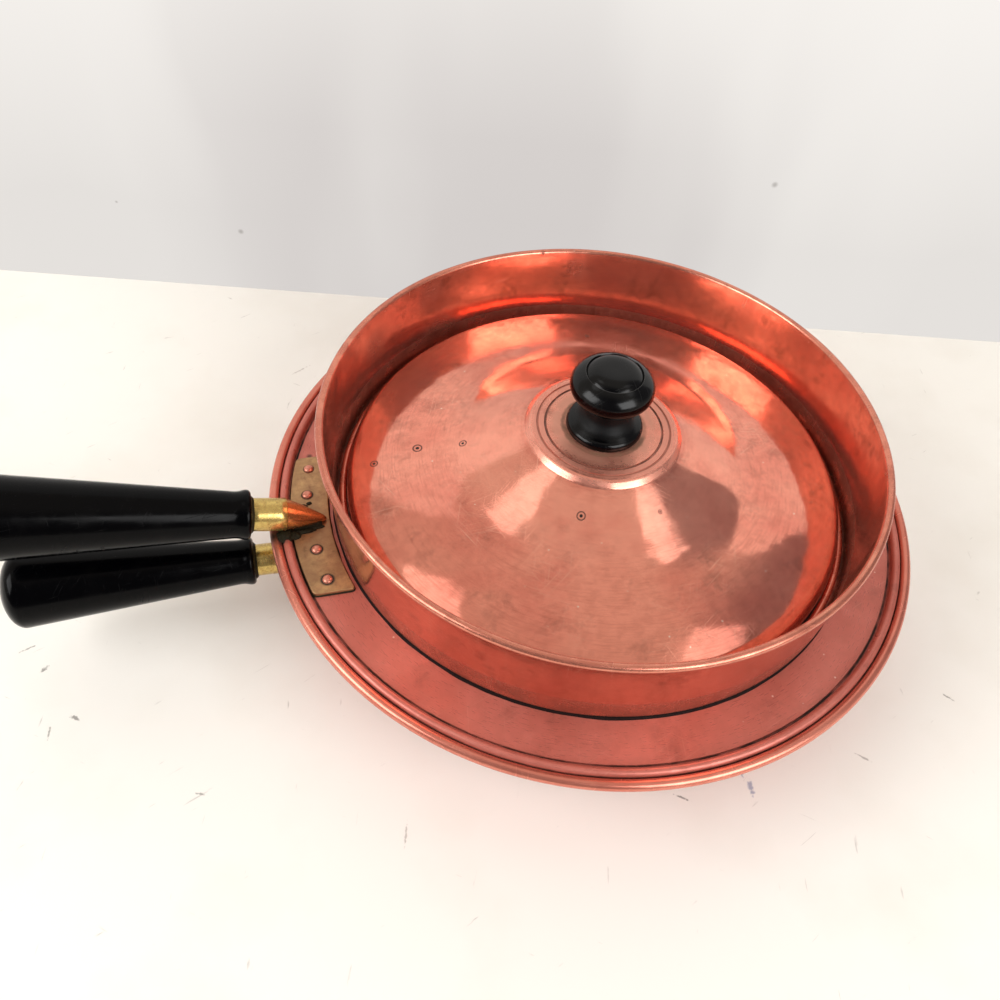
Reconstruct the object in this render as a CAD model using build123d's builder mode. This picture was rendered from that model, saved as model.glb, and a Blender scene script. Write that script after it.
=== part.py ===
from build123d import *

import math
import os

# Copper double boiler, in millimetres. Z is up, the water pan stands on Z = 0 and its axis is
# the Z axis. Both handles point along -X.

# Sheet and clearances
sheet = 1.0
seam_gap = 0.3
wire_gap = 0.05
stud_gap = 0.05
rivet_gap = 0.05
spigot_gap = 0.05
screw_gap = 0.3

# Food pan, the upper vessel. Its tall wall's foot gives every other radius.
pan_wall_foot_radius = 116.8
pan_wall_height = 45.0
pan_wall_flare = 4.6
pan_roll_radius = 1.7
pan_ledge_width = 9.8
pan_ledge_bend = 2.0
pan_depth = 40.0
pan_corner_radius = 13.0

# Water pan, the lower vessel
seat_height = 57.0
water_rim_reach = 28.2
water_roll_radius = 2.25
water_seat_width = 11.0
water_wall_taper = 12.0
water_corner_radius = 24.0
water_seat_bend = 2.0

# Flange of the food pan, which nests inside the water pan's roll
flange_roll_radius = 1.9
flange_groove_width = 1.3
flange_groove_depth = 0.5
flange_hole_gap = 2.4

# Lid
lid_edge_inset = 6.4
lid_roll_radius = 1.7
lid_crease = 0.5
lid_edge_lift = 6.2
lid_shoulder_radius = 8.2
lid_shoulder_slope = 17.5
lid_skirt_radius = 155.0
lid_valley_slope = 5.6
lid_valley_radius = 44.0
lid_cone_slope = 23.3
boss_radius = 31.4
boss_foot_radius = 33.8
boss_step = 2.4
boss_bend = 1.9
boss_groove_radii = (25.2, 28.6)
boss_groove_width = 1.0
boss_groove_depth = 0.45

# Knob and what holds it
knob_foot_radius = 16.6
knob_foot_height = 4.0
knob_foot_edge = 1.0
knob_foot_middle = 1.6
knob_shoulder_radius = 15.2
knob_shoulder_slope = (-1, 0.35)
knob_neck_radius = 9.4
knob_neck_height = 10.2
knob_head_radius = 17.6
knob_head_half_height = 9.4
knob_head_height = 23.3
knob_ring_radius = 11.9
knob_ring_depth = 0.5
knob_crown_edge_radius = 11.4
knob_crown_height = 32.4
insert_radius = 4.0
insert_length = 14.0
screw_radius = 2.0
screw_reach = 11.0
screw_head_radius = 4.0
screw_head_height = 2.6
screw_head_edge = 1.0
screw_slot_width = 1.2
screw_slot_depth = 1.1
washer_radius = 6.5
washer_thickness = 1.0

# Handles: where each grip starts, how it slopes and what joins it to its pan
upper_grip_reach = 6.2
upper_grip_rise = 12.2
upper_slope = 12.35
lower_grip_reach = 8.8
lower_grip_drop = 19.5
lower_slope = 2.1
ferrule_radius = 6.75
ferrule_wall = 1.0
ferrule_length = 13.5
cone_step = 0.4
stud_radius = 3.0
stud_in_grip = 62.0
stud_in_bracket = 20.0
grip_length = 102.0
grip_face_radius = 8.7
grip_lip_radius = 10.1
grip_lip_place = 1.8
grip_neck_radius = 9.1
grip_neck_length = 7.0
grip_lip_start_slope = (0.3, 1)
grip_lip_end_slope = (1, 0.05)
grip_end_radius = 15.9
grip_dome_length = 8.5

# Upper bracket plate and its rivets, measured round from the handle's line
plate_thickness = 1.8
plate_inner_gap = 2.3
plate_outer_gap = 2.4
plate_half_angle = 17.75
plate_corner = 3.0
nose_tip_gap = 4.6
nose_tip_height = 2.9
nose_tip_radius = 1.3
web_width = 6.5
bead_relief = 0.35
upper_rivet_angles = (-15.5, -7.5, 6.2, 13.3)
upper_rivet_shifts = (2.5, 1.5, 0.3, 0.3)
rivet_shank_radius = 1.6
rivet_head_radius = 2.35
rivet_head_height = 1.3
rivet_head_edge = 1.15
rivet_seat_gap = 0.05
rivet_tail_radius = 2.2
rivet_tail_height = 0.7

# Lower bracket on the water pan's wall and its rivets
wall_plate_thickness = 2.0
wall_plate_top_drop = 8.0
wall_plate_height = 23.0
wall_plate_half_angle = 12.0
wall_plate_corner = 4.0
lower_cone_radius = 9.0
lower_cone_sink = 0.5
lower_rivet_angles = (-8.8, 8.8)
lower_rivet_drops = (26.0, 13.0)

# Sizes that follow from the ones above
half_sheet = sheet / 2
water_roll_outer_radius = pan_wall_foot_radius + water_rim_reach
water_mouth_radius = water_roll_outer_radius - water_seat_width
water_foot_radius = water_mouth_radius - water_wall_taper
pan_lower_radius = pan_wall_foot_radius - pan_ledge_width
pan_roll_outer_radius = pan_wall_foot_radius + pan_wall_flare
flange_hole_radius = pan_lower_radius + flange_hole_gap
lid_edge_radius = pan_wall_foot_radius - lid_edge_inset
water_roll_centre = water_roll_outer_radius - water_roll_radius
flange_roll_centre = water_roll_centre - water_roll_radius - flange_roll_radius - seam_gap
flange_top = seat_height + sheet
plate_inner_radius = pan_wall_foot_radius + plate_inner_gap
plate_outer_radius = flange_roll_centre - plate_outer_gap
plate_middle_radius = (plate_inner_radius + plate_outer_radius) / 2
wall_plate_high = seat_height - wall_plate_top_drop
wall_plate_low = wall_plate_high - wall_plate_height
ledge_top = flange_top + sheet
pan_rim_height = flange_top + pan_wall_height
lid_roll_centre = lid_edge_radius + lid_crease + lid_roll_radius
rivet_hole_radius = rivet_shank_radius + rivet_gap
axis_z = Axis.Z
quarter_turn = 90
half_turn = 2 * quarter_turn


def roll_centre_height(sheet_bottom, roll_radius):
    """Height of a rolled edge that is curled up from a flat sheet."""
    return sheet_bottom + roll_radius


def make_wire(centre_radius, height, roll_radius):
    """The round wire that a sheet edge is rolled over."""
    with BuildPart() as wire:
        with BuildSketch(Plane.XZ):
            with Locations((centre_radius, height)):
                Circle(roll_radius - sheet - wire_gap)
        revolve(axis=axis_z)
    return wire.part


def along_slope(point, distance, slope):
    """Point at a distance from another, square to a surface that falls at this slope."""
    angle = math.radians(slope)
    return (point[0] + distance * math.sin(angle), point[1] + distance * math.cos(angle))


def handle_plane(start, height, slope):
    """Plane with its X axis along a handle, its origin at the front face of the grip."""
    angle = math.radians(slope)
    return Plane(
        origin=(-start, 0, height),
        x_dir=(-math.cos(angle), 0, math.sin(angle)),
        z_dir=(0, 1, 0),
    )


def handle_axis(plane):
    """Middle line of a handle."""
    return Axis(plane.origin, plane.x_dir)


def across_handle(point, plane):
    """Plane square to a handle, at a point, facing the grip."""
    return Plane(origin=point, x_dir=(0, 1, 0), z_dir=plane.x_dir)


def round_from_handle(radius, degrees):
    """Point at a radius from the pans' axis, turned round from the line of the handles."""
    angle = math.radians(degrees)
    return (-radius * math.cos(angle), -radius * math.sin(angle))


upper_rivet_points = [
    round_from_handle(plate_middle_radius + shift, degrees)
    for shift, degrees in zip(upper_rivet_shifts, upper_rivet_angles)
]
wall_run = water_mouth_radius + half_sheet - water_foot_radius
wall_rise = seat_height - sheet
wall_lean = math.atan2(wall_run, wall_rise)


def wall_radius(height, outward):
    """Radius of the water pan's wall at a height, moved outward square to the wall."""
    middle = water_foot_radius + (height - half_sheet) * wall_run / wall_rise
    return middle + (half_sheet + outward) / math.cos(wall_lean)


def lower_rivet_planes():
    """Planes on the water pan's wall, one for each lower rivet, facing out."""
    planes = []
    for drop in lower_rivet_drops:
        height = seat_height - drop
        for degrees in lower_rivet_angles:
            x, y = round_from_handle(wall_radius(height, 0), degrees)
            out = (x, y, -math.hypot(x, y) * math.tan(wall_lean))
            planes.append(Plane(origin=(x, y, height), z_dir=out))
    return planes


# Water pan: base, tapered wall, flat seat and a rolled rim
water_seat_middle = seat_height - half_sheet
water_roll_height = roll_centre_height(seat_height - sheet, water_roll_radius)
with BuildPart() as water_pan:
    with BuildSketch(Plane.XZ):
        with BuildLine():
            FilletPolyline(
                (0, half_sheet),
                (water_foot_radius, half_sheet),
                (water_mouth_radius + half_sheet, water_seat_middle),
                (water_roll_centre, water_seat_middle),
                radius=(water_corner_radius, water_seat_bend),
            )
        trace(line_width=sheet)
        with Locations((water_roll_centre, water_roll_height)):
            Circle(water_roll_radius)
            Circle(water_roll_radius - sheet, mode=Mode.SUBTRACT)
    revolve(axis=axis_z)
    for plane in lower_rivet_planes():
        with BuildSketch(plane):
            Circle(rivet_hole_radius)
        extrude(amount=2 * sheet, both=True, mode=Mode.SUBTRACT)

water_pan_wire = make_wire(water_roll_centre, water_roll_height, water_roll_radius)

# Flange: a flat ring under the food pan's ledge, grooved along its rolled edge
flange_roll_height = roll_centre_height(seat_height, flange_roll_radius)
flange_groove_radius = flange_roll_centre - flange_roll_radius - flange_groove_width / 2
with BuildPart() as flange:
    with BuildSketch(Plane.XZ):
        with BuildLine():
            Line(
                (flange_hole_radius, seat_height + half_sheet),
                (flange_roll_centre, seat_height + half_sheet),
            )
        trace(line_width=sheet)
        with Locations((flange_roll_centre, flange_roll_height)):
            Circle(flange_roll_radius)
            Circle(flange_roll_radius - sheet, mode=Mode.SUBTRACT)
        with Locations((flange_groove_radius, flange_top)):
            Rectangle(flange_groove_width, 2 * flange_groove_depth, mode=Mode.SUBTRACT)
    revolve(axis=axis_z)
    with BuildSketch(Plane.XY.offset(seat_height)):
        with Locations(upper_rivet_points):
            Circle(rivet_hole_radius)
    extrude(amount=sheet, mode=Mode.SUBTRACT)

flange_wire = make_wire(flange_roll_centre, flange_roll_height, flange_roll_radius)

# Food pan: floor, lower wall in the water, ledge for the lid, upper wall and rolled rim
pan_floor_middle = flange_top - pan_depth + half_sheet
pan_roll_centre = pan_roll_outer_radius - pan_roll_radius
pan_roll_height = pan_rim_height - pan_roll_radius
pan_wall_top = (pan_roll_centre - pan_roll_radius + half_sheet, pan_roll_height)
with BuildPart() as food_pan:
    with BuildSketch(Plane.XZ):
        with BuildLine():
            FilletPolyline(
                (0, pan_floor_middle),
                (pan_lower_radius - half_sheet, pan_floor_middle),
                (pan_lower_radius - half_sheet, flange_top + half_sheet),
                (pan_wall_foot_radius - half_sheet, flange_top + half_sheet),
                pan_wall_top,
                radius=(pan_corner_radius, pan_ledge_bend, pan_ledge_bend),
            )
        trace(line_width=sheet)
        with Locations((pan_roll_centre, pan_roll_height)):
            Circle(pan_roll_radius)
            Circle(pan_roll_radius - sheet, mode=Mode.SUBTRACT)
    revolve(axis=axis_z)

food_pan_wire = make_wire(pan_roll_centre, pan_roll_height, pan_roll_radius)

# Lid: stepped boss, cone, shallow valley, skirt, tight shoulder and a flat brim with a rolled edge
lid_brim_middle = ledge_top + half_sheet
lid_roll_height = roll_centre_height(ledge_top, lid_roll_radius)
shoulder_radius = lid_shoulder_radius - half_sheet
shoulder_x = lid_edge_radius - lid_shoulder_radius
shoulder_z = lid_brim_middle + lid_edge_lift
shoulder_start = along_slope((shoulder_x, shoulder_z), shoulder_radius, lid_shoulder_slope)
skirt_centre = along_slope(shoulder_start, -lid_skirt_radius, lid_shoulder_slope)
skirt_start = along_slope(skirt_centre, lid_skirt_radius, lid_valley_slope)
valley_centre = along_slope(skirt_start, lid_valley_radius, lid_valley_slope)
valley_start = along_slope(valley_centre, -lid_valley_radius, lid_cone_slope)
cone_width = valley_start[0] - boss_foot_radius
boss_foot_z = valley_start[1] + cone_width * math.tan(math.radians(lid_cone_slope))
boss_middle = boss_foot_z + boss_step
boss_top = boss_middle + half_sheet
screw_hole_radius = screw_radius + screw_gap
with BuildPart() as lid:
    with BuildSketch(Plane.XZ):
        with BuildLine():
            FilletPolyline(
                (screw_hole_radius, boss_middle),
                (boss_radius, boss_middle),
                (boss_foot_radius, boss_foot_z),
                radius=boss_bend,
            )
            Line((boss_foot_radius, boss_foot_z), valley_start)
            CenterArc(
                valley_centre,
                lid_valley_radius,
                half_turn + quarter_turn - lid_cone_slope,
                lid_cone_slope - lid_valley_slope,
            )
            CenterArc(
                skirt_centre,
                lid_skirt_radius,
                quarter_turn - lid_valley_slope,
                lid_valley_slope - lid_shoulder_slope,
            )
            CenterArc(
                (shoulder_x, shoulder_z),
                shoulder_radius,
                quarter_turn - lid_shoulder_slope,
                lid_shoulder_slope - quarter_turn,
            )
            FilletPolyline(
                (shoulder_x + shoulder_radius, shoulder_z),
                (shoulder_x + shoulder_radius, lid_brim_middle),
                (lid_roll_centre, lid_brim_middle),
                radius=half_sheet + lid_crease / 2,
            )
        trace(line_width=sheet)
        with Locations((lid_roll_centre, lid_roll_height)):
            Circle(lid_roll_radius)
            Circle(lid_roll_radius - sheet, mode=Mode.SUBTRACT)
        for groove_radius in boss_groove_radii:
            with Locations((groove_radius, boss_top)):
                Rectangle(boss_groove_width, 2 * boss_groove_depth, mode=Mode.SUBTRACT)
    revolve(axis=axis_z)

lid_wire = make_wire(lid_roll_centre, lid_roll_height, lid_roll_radius)

# Knob: flared foot, neck, flattened head with a fine ring, and a bore for the insert
head_z = boss_top + knob_head_height
neck_angle = -math.degrees(math.acos(knob_neck_radius / knob_head_radius))
ring_angle = math.degrees(math.acos(knob_ring_radius / knob_head_radius))
neck_z = head_z + knob_head_half_height * math.sin(math.radians(neck_angle))
ring_z = head_z + knob_head_half_height * math.sin(math.radians(ring_angle))
crown_edge_z = ring_z - knob_ring_depth
crown_top = boss_top + knob_crown_height
crown_drop = crown_top - crown_edge_z
crown_radius = (knob_crown_edge_radius**2 + crown_drop**2) / (2 * crown_drop)
crown_start_angle = math.degrees(math.acos(knob_crown_edge_radius / crown_radius))
crown_arc = math.degrees(math.asin(knob_crown_edge_radius / crown_radius))
foot_shoulder = (knob_shoulder_radius, boss_top + knob_foot_height)
with BuildPart() as knob:
    with BuildSketch(Plane.XZ):
        with BuildLine():
            Line((0, boss_top), (knob_foot_radius - knob_foot_edge, boss_top))
            ThreePointArc(
                (knob_foot_radius - knob_foot_edge, boss_top),
                (knob_foot_radius, boss_top + knob_foot_middle),
                foot_shoulder,
            )
            Spline(
                foot_shoulder,
                (knob_neck_radius, boss_top + knob_neck_height),
                (knob_neck_radius, neck_z),
                tangents=(knob_shoulder_slope, (0, 1)),
            )
            EllipticalCenterArc(
                (0, head_z),
                knob_head_radius,
                knob_head_half_height,
                start_angle=neck_angle,
                arc_size=ring_angle - neck_angle,
            )
            Line((knob_ring_radius, ring_z), (knob_crown_edge_radius, crown_edge_z))
            CenterArc((0, crown_top - crown_radius), crown_radius, crown_start_angle, crown_arc)
            Line((0, crown_top), (0, boss_top))
        make_face()
    revolve(axis=axis_z)
    with Locations((0, 0, boss_top)):
        Cylinder(
            insert_radius,
            insert_length,
            align=(Align.CENTER, Align.CENTER, Align.MIN),
            mode=Mode.SUBTRACT,
        )

# Insert, screw and washer, all on the pans' axis
with BuildPart() as knob_insert:
    with BuildSketch(Plane.XY.offset(boss_top)):
        Circle(insert_radius)
    extrude(amount=insert_length)
    with BuildSketch(Plane.XY.offset(boss_top)):
        Circle(screw_radius + stud_gap)
    extrude(amount=screw_reach + screw_gap, mode=Mode.SUBTRACT)

washer_top = boss_top - sheet
with BuildPart() as knob_washer:
    with BuildSketch(Plane.XY.offset(washer_top - washer_thickness)):
        Circle(washer_radius)
        Circle(screw_hole_radius, mode=Mode.SUBTRACT)
    extrude(amount=washer_thickness)

screw_seat = washer_top - washer_thickness
with BuildPart() as knob_screw:
    with BuildSketch(Plane.XY.offset(screw_seat - screw_head_height)):
        Circle(screw_head_radius)
    extrude(amount=screw_head_height)
    fillet(knob_screw.edges().group_by(Axis.Z)[0], screw_head_edge)
    with BuildSketch(Plane.XY.offset(screw_seat - screw_head_height)):
        Rectangle(2 * screw_head_radius, screw_slot_width)
    extrude(amount=screw_slot_depth, mode=Mode.SUBTRACT)
    with BuildSketch(Plane.XY.offset(screw_seat)):
        Circle(screw_radius)
    extrude(amount=boss_top + screw_reach - screw_seat)


def make_grip(plane):
    """Tapered grip with a lip at the front, a domed end and a blind hole for the stud."""
    dome_start = grip_length - grip_dome_length
    with BuildPart() as grip:
        with BuildSketch(plane):
            with BuildLine():
                Line((0, 0), (0, grip_face_radius))
                Spline(
                    (0, grip_face_radius),
                    (grip_lip_place, grip_lip_radius),
                    (grip_neck_length, grip_neck_radius),
                    tangents=(grip_lip_start_slope, grip_lip_end_slope),
                )
                Line((grip_neck_length, grip_neck_radius), (dome_start, grip_end_radius))
                EllipticalCenterArc(
                    (dome_start, 0), grip_dome_length, grip_end_radius, start_angle=0, arc_size=quarter_turn
                )
                Line((grip_length, 0), (0, 0))
            make_face()
        revolve(axis=handle_axis(plane))
        with BuildSketch(plane):
            with Locations((stud_in_grip / 2, (stud_radius + stud_gap) / 2)):
                Rectangle(stud_in_grip, stud_radius + stud_gap)
        revolve(axis=handle_axis(plane), mode=Mode.SUBTRACT)
    return grip.part


def make_ferrule(plane):
    """Brass tube between the bracket's cone and the grip."""
    with BuildPart() as ferrule:
        with BuildSketch(plane):
            with Locations((-ferrule_length / 2, ferrule_radius - ferrule_wall / 2)):
                Rectangle(ferrule_length, ferrule_wall)
        revolve(axis=handle_axis(plane))
    return ferrule.part


def make_stud(plane):
    """Steel stud from the bracket into the grip."""
    length = stud_in_grip + stud_in_bracket
    with BuildPart() as stud:
        with BuildSketch(plane):
            with Locations(((stud_in_grip - stud_in_bracket) / 2, stud_radius / 2)):
                Rectangle(length, stud_radius)
        revolve(axis=handle_axis(plane))
    return stud.part


upper_plane = handle_plane(
    water_roll_outer_radius + upper_grip_reach, flange_top + upper_grip_rise, upper_slope
)
lower_plane = handle_plane(
    water_roll_outer_radius + lower_grip_reach, seat_height - lower_grip_drop, lower_slope
)
upper_grip = make_grip(upper_plane)
upper_ferrule = make_ferrule(upper_plane)
upper_stud = make_stud(upper_plane)
lower_grip = make_grip(lower_plane)
lower_ferrule = make_ferrule(lower_plane)
lower_stud = make_stud(lower_plane)

# Upper bracket: crescent plate, cone with a web below it, and a spigot for the ferrule
plate_top = flange_top + plate_thickness
spigot_radius = ferrule_radius - ferrule_wall - spigot_gap
cone_radius = ferrule_radius - cone_step
upper_cone_end = upper_plane.origin - upper_plane.x_dir * ferrule_length
nose_tip = (-pan_wall_foot_radius - nose_tip_gap, 0, flange_top + nose_tip_height)
web_foot = flange_top + plate_thickness / 2
with BuildPart() as upper_bracket:
    with BuildSketch(Plane(origin=(0, 0, flange_top), x_dir=(-1, 0, 0), z_dir=(0, 0, 1))):
        with BuildLine():
            plate_outer = CenterArc(
                (0, 0), plate_outer_radius, -plate_half_angle, 2 * plate_half_angle
            )
            plate_inner = CenterArc(
                (0, 0), plate_inner_radius, -plate_half_angle, 2 * plate_half_angle
            )
            Line(plate_outer @ 0, plate_inner @ 0)
            Line(plate_outer @ 1, plate_inner @ 1)
        plate_face = make_face()
        fillet(plate_face.vertices(), plate_corner)
    extrude(amount=plate_thickness)
    with BuildSketch(Plane.XY.offset(flange_top)):
        with Locations(upper_rivet_points):
            Circle(rivet_hole_radius)
    extrude(amount=plate_thickness, mode=Mode.SUBTRACT)
    with BuildSketch(across_handle(upper_cone_end, upper_plane)):
        Circle(cone_radius)
    with BuildSketch(across_handle(nose_tip, upper_plane)):
        Circle(nose_tip_radius)
    loft()
    with BuildSketch(Plane.XZ):
        with BuildLine():
            Polyline(
                (nose_tip[0], web_foot),
                (nose_tip[0], nose_tip[2]),
                (-plate_outer_radius, upper_cone_end.Z),
                (-plate_outer_radius, web_foot),
                close=True,
            )
        make_face()
    extrude(amount=web_width / 2, both=True)
    with BuildSketch(across_handle(upper_cone_end, upper_plane)):
        Circle(spigot_radius)
    extrude(amount=ferrule_length)
    with BuildSketch(Plane.XZ):
        with Locations((flange_roll_centre, flange_roll_height)):
            Circle(flange_roll_radius + bead_relief)
    revolve(axis=axis_z, mode=Mode.SUBTRACT)
    with BuildSketch(upper_plane):
        with Locations((-stud_in_bracket / 2, (stud_radius + stud_gap) / 2)):
            Rectangle(stud_in_bracket, stud_radius + stud_gap)
    revolve(axis=handle_axis(upper_plane), mode=Mode.SUBTRACT)

# Upper rivets: a domed head on the plate, a flat tail under the flange
with BuildPart() as upper_rivets:
    with BuildSketch(Plane.XY.offset(plate_top)):
        with Locations(upper_rivet_points):
            Circle(rivet_head_radius)
    extrude(amount=rivet_head_height)
    fillet(upper_rivets.edges().group_by(Axis.Z)[-1], rivet_head_edge)
    with BuildSketch(Plane.XY.offset(seat_height - rivet_tail_height)):
        with Locations(upper_rivet_points):
            Circle(rivet_tail_radius)
    extrude(amount=rivet_tail_height)
    with BuildSketch(Plane.XY.offset(seat_height)):
        with Locations(upper_rivet_points):
            Circle(rivet_shank_radius)
    extrude(amount=plate_top - seat_height)

# Lower bracket: a plate that follows the water pan's wall, a cone and a spigot
lower_cone_end = lower_plane.origin - lower_plane.x_dir * ferrule_length
lower_cone_foot = (-wall_radius(lower_cone_end.Z, lower_cone_sink), 0, lower_cone_end.Z)
with BuildPart() as lower_bracket:
    with BuildSketch(Plane.XZ):
        with BuildLine():
            Polyline(
                (-wall_radius(wall_plate_low, 0), wall_plate_low),
                (-wall_radius(wall_plate_low, wall_plate_thickness), wall_plate_low),
                (-wall_radius(wall_plate_high, wall_plate_thickness), wall_plate_high),
                (-wall_radius(wall_plate_high, 0), wall_plate_high),
                close=True,
            )
        make_face()
    revolve(axis=axis_z, revolution_arc=wall_plate_half_angle)
    mirror(about=Plane.XZ)
    plate_edges = lower_bracket.edges().sort_by(SortBy.LENGTH)
    fillet(plate_edges[:4], wall_plate_corner)
    with BuildSketch(across_handle(lower_cone_end, lower_plane)):
        Circle(cone_radius)
    with BuildSketch(across_handle(lower_cone_foot, lower_plane)):
        Circle(lower_cone_radius)
    loft()
    with BuildSketch(across_handle(lower_cone_end, lower_plane)):
        Circle(spigot_radius)
    extrude(amount=ferrule_length)
    with BuildSketch(Plane.XZ):
        with BuildLine():
            Polyline(
                (0, 0),
                (-wall_radius(0, 0), 0),
                (-wall_radius(seat_height, 0), seat_height),
                (0, seat_height),
                close=True,
            )
        make_face()
    revolve(axis=axis_z, mode=Mode.SUBTRACT)
    with BuildSketch(lower_plane):
        with Locations((-stud_in_bracket / 2, (stud_radius + stud_gap) / 2)):
            Rectangle(stud_in_bracket, stud_radius + stud_gap)
    revolve(axis=handle_axis(lower_plane), mode=Mode.SUBTRACT)
    for plane in lower_rivet_planes():
        with BuildSketch(plane):
            Circle(rivet_hole_radius)
        extrude(amount=2 * wall_plate_thickness, both=True, mode=Mode.SUBTRACT)


def make_wall_rivet(plane):
    """Rivet through the lower plate and the pan's wall, domed outside and flat inside."""
    tail_seat = sheet + rivet_seat_gap
    with BuildPart() as rivet:
        with BuildSketch(plane.offset(wall_plate_thickness)):
            Circle(rivet_head_radius)
        extrude(amount=rivet_head_height)
        fillet(rivet.edges().sort_by_distance(plane.origin)[-1], rivet_head_edge)
        with BuildSketch(plane.offset(-tail_seat - rivet_tail_height)):
            Circle(rivet_tail_radius)
        extrude(amount=rivet_tail_height)
        with BuildSketch(plane.offset(-tail_seat)):
            Circle(rivet_shank_radius)
        extrude(amount=tail_seat + wall_plate_thickness)
    return rivet.part


lower_rivets = Compound(children=[make_wall_rivet(plane) for plane in lower_rivet_planes()])

parts = {
    "water_pan": water_pan.part,
    "water_pan_wire": water_pan_wire,
    "lower_bracket": lower_bracket.part,
    "lower_rivets": lower_rivets,
    "lower_ferrule": lower_ferrule,
    "lower_grip": lower_grip,
    "lower_stud": lower_stud,
    "food_pan": food_pan.part,
    "food_pan_wire": food_pan_wire,
    "flange": flange.part,
    "flange_wire": flange_wire,
    "upper_bracket": upper_bracket.part,
    "upper_rivets": upper_rivets.part,
    "upper_ferrule": upper_ferrule,
    "upper_grip": upper_grip,
    "upper_stud": upper_stud,
    "lid": lid.part,
    "lid_wire": lid_wire,
    "knob": knob.part,
    "knob_insert": knob_insert.part,
    "knob_screw": knob_screw.part,
    "knob_washer": knob_washer.part,
}
os.makedirs("parts", exist_ok=True)
for name, part in parts.items():
    part.label = name
    export_step(part, f"parts/{name}.step")
    print(name, "solids", len(part.solids()), "volume", round(part.volume))
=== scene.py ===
import math

import bmesh
import bpy
from mathutils import Matrix, Vector, noise


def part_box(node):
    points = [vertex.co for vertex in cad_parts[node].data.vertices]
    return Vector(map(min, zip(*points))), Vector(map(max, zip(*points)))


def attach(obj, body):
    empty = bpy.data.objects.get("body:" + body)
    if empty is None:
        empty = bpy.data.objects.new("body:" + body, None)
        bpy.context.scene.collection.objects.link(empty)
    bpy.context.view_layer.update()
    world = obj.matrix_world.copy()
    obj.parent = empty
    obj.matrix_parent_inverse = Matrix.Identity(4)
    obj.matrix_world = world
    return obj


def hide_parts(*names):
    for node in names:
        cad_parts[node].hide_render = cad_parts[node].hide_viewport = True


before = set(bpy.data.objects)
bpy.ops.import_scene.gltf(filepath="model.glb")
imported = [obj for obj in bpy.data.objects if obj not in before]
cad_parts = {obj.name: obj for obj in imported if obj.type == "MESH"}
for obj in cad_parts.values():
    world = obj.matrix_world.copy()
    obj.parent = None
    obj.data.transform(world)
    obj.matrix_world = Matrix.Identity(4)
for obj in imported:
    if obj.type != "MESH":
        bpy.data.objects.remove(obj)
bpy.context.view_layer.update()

# Copper double boiler, dressed over its CAD frame. Lengths in the dictionaries are millimetres,
# Z is up from the table, and both handles point along -X.
mm = 0.001
tau = 2 * math.pi
print("frame loaded:", len(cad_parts), "nodes")


def cadBox(node):
    # lowest and highest corner of a CAD node, in millimetres
    low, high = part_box(node)
    return low / mm, high / mm


# Colour and nodes

def linear(hexColour):
    # sRGB hex to the linear values that a shader socket takes
    channels = [int(hexColour[i:i + 2], 16) / 255 for i in (1, 3, 5)]
    return tuple(c / 12.92 if c <= 0.04045 else ((c + 0.055) / 1.055) ** 2.4 for c in channels) + (1.0,)


def addNode(tree, kind, inputs=(), **settings):
    # adds one shader node with its settings: inputs are a list, or a dictionary by name or place,
    # and each takes a value, a socket or another node
    node = tree.nodes.new("ShaderNode" + kind)
    for key, value in settings.items():
        setattr(node, key, value)
    for key, value in inputs.items() if isinstance(inputs, dict) else enumerate(inputs):
        if isinstance(key, int):
            socket = node.inputs[key]
        else:
            socket = next(s for s in node.inputs if s.enabled and s.name == key)
        if isinstance(value, bpy.types.Node):
            value = next(s for s in value.outputs if s.enabled)
        if isinstance(value, bpy.types.NodeSocket):
            tree.links.new(value, socket)
        else:
            socket.default_value = value
    return node


def layColours(tree, ground, layers):
    # each layer lays its colour over those below it, by its own amount
    colour = linear(ground)
    for amount, hexColour in layers:
        colour = addNode(tree, "Mix", {0: amount, 6: colour, 7: linear(hexColour)}, data_type="RGBA").outputs[2]
    return colour


def strongest(tree, amounts):
    # the largest of the amounts at each point
    most = amounts[0]
    for amount in amounts[1:]:
        most = addNode(tree, "Math", [most, amount], operation="MAXIMUM")
    return most


def measurePlace(tree):
    # the point in millimetres, its height, the point seen from above, and how far that is from Z
    place = addNode(tree, "TexCoord").outputs["Object"]
    point = addNode(tree, "VectorMath", {0: place, 3: 1 / mm}, operation="SCALE").outputs[0]
    axes = addNode(tree, "SeparateXYZ", [point])
    flat = addNode(tree, "CombineXYZ", [axes.outputs[0], axes.outputs[1]])
    radius = addNode(tree, "VectorMath", [flat], operation="LENGTH").outputs["Value"]
    return point, axes.outputs[2], flat, radius


def findDust(tree, point, spacing, inner, outer, share, strength):
    # tiny pale specks, in this share of the places that they could lie in
    speck = addNode(tree, "TexVoronoi", {"Vector": point, "Scale": 1 / spacing})
    near = addNode(tree, "MapRange", [speck.outputs["Distance"], inner, outer, strength, 0.0])
    chance = addNode(tree, "Math", [speck.outputs["Color"], 1 - share], operation="GREATER_THAN")
    return addNode(tree, "Math", [near, chance], operation="MULTIPLY")


def findScratches(tree, point, turns, marks):
    # long thin marks in a few directions, drawn coarser than life so that they show
    found = []
    for i, turn in enumerate(turns):
        shift = [i * step for step in marks["shift"]]
        laid = addNode(tree, "Mapping", {"Vector": point, "Rotation": (*marks["tilt"], math.radians(turn)),
                       "Location": shift, "Scale": marks["size"]}, vector_type="TEXTURE")
        mark = addNode(tree, "TexNoise", {"Vector": laid, "Scale": 1.0, "Detail": marks["detail"],
                       "Distortion": marks["bend"]})
        found.append(addNode(tree, "MapRange", [mark, *marks["shows"], 0.0, 1.0]))
    return strongest(tree, found)


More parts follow.
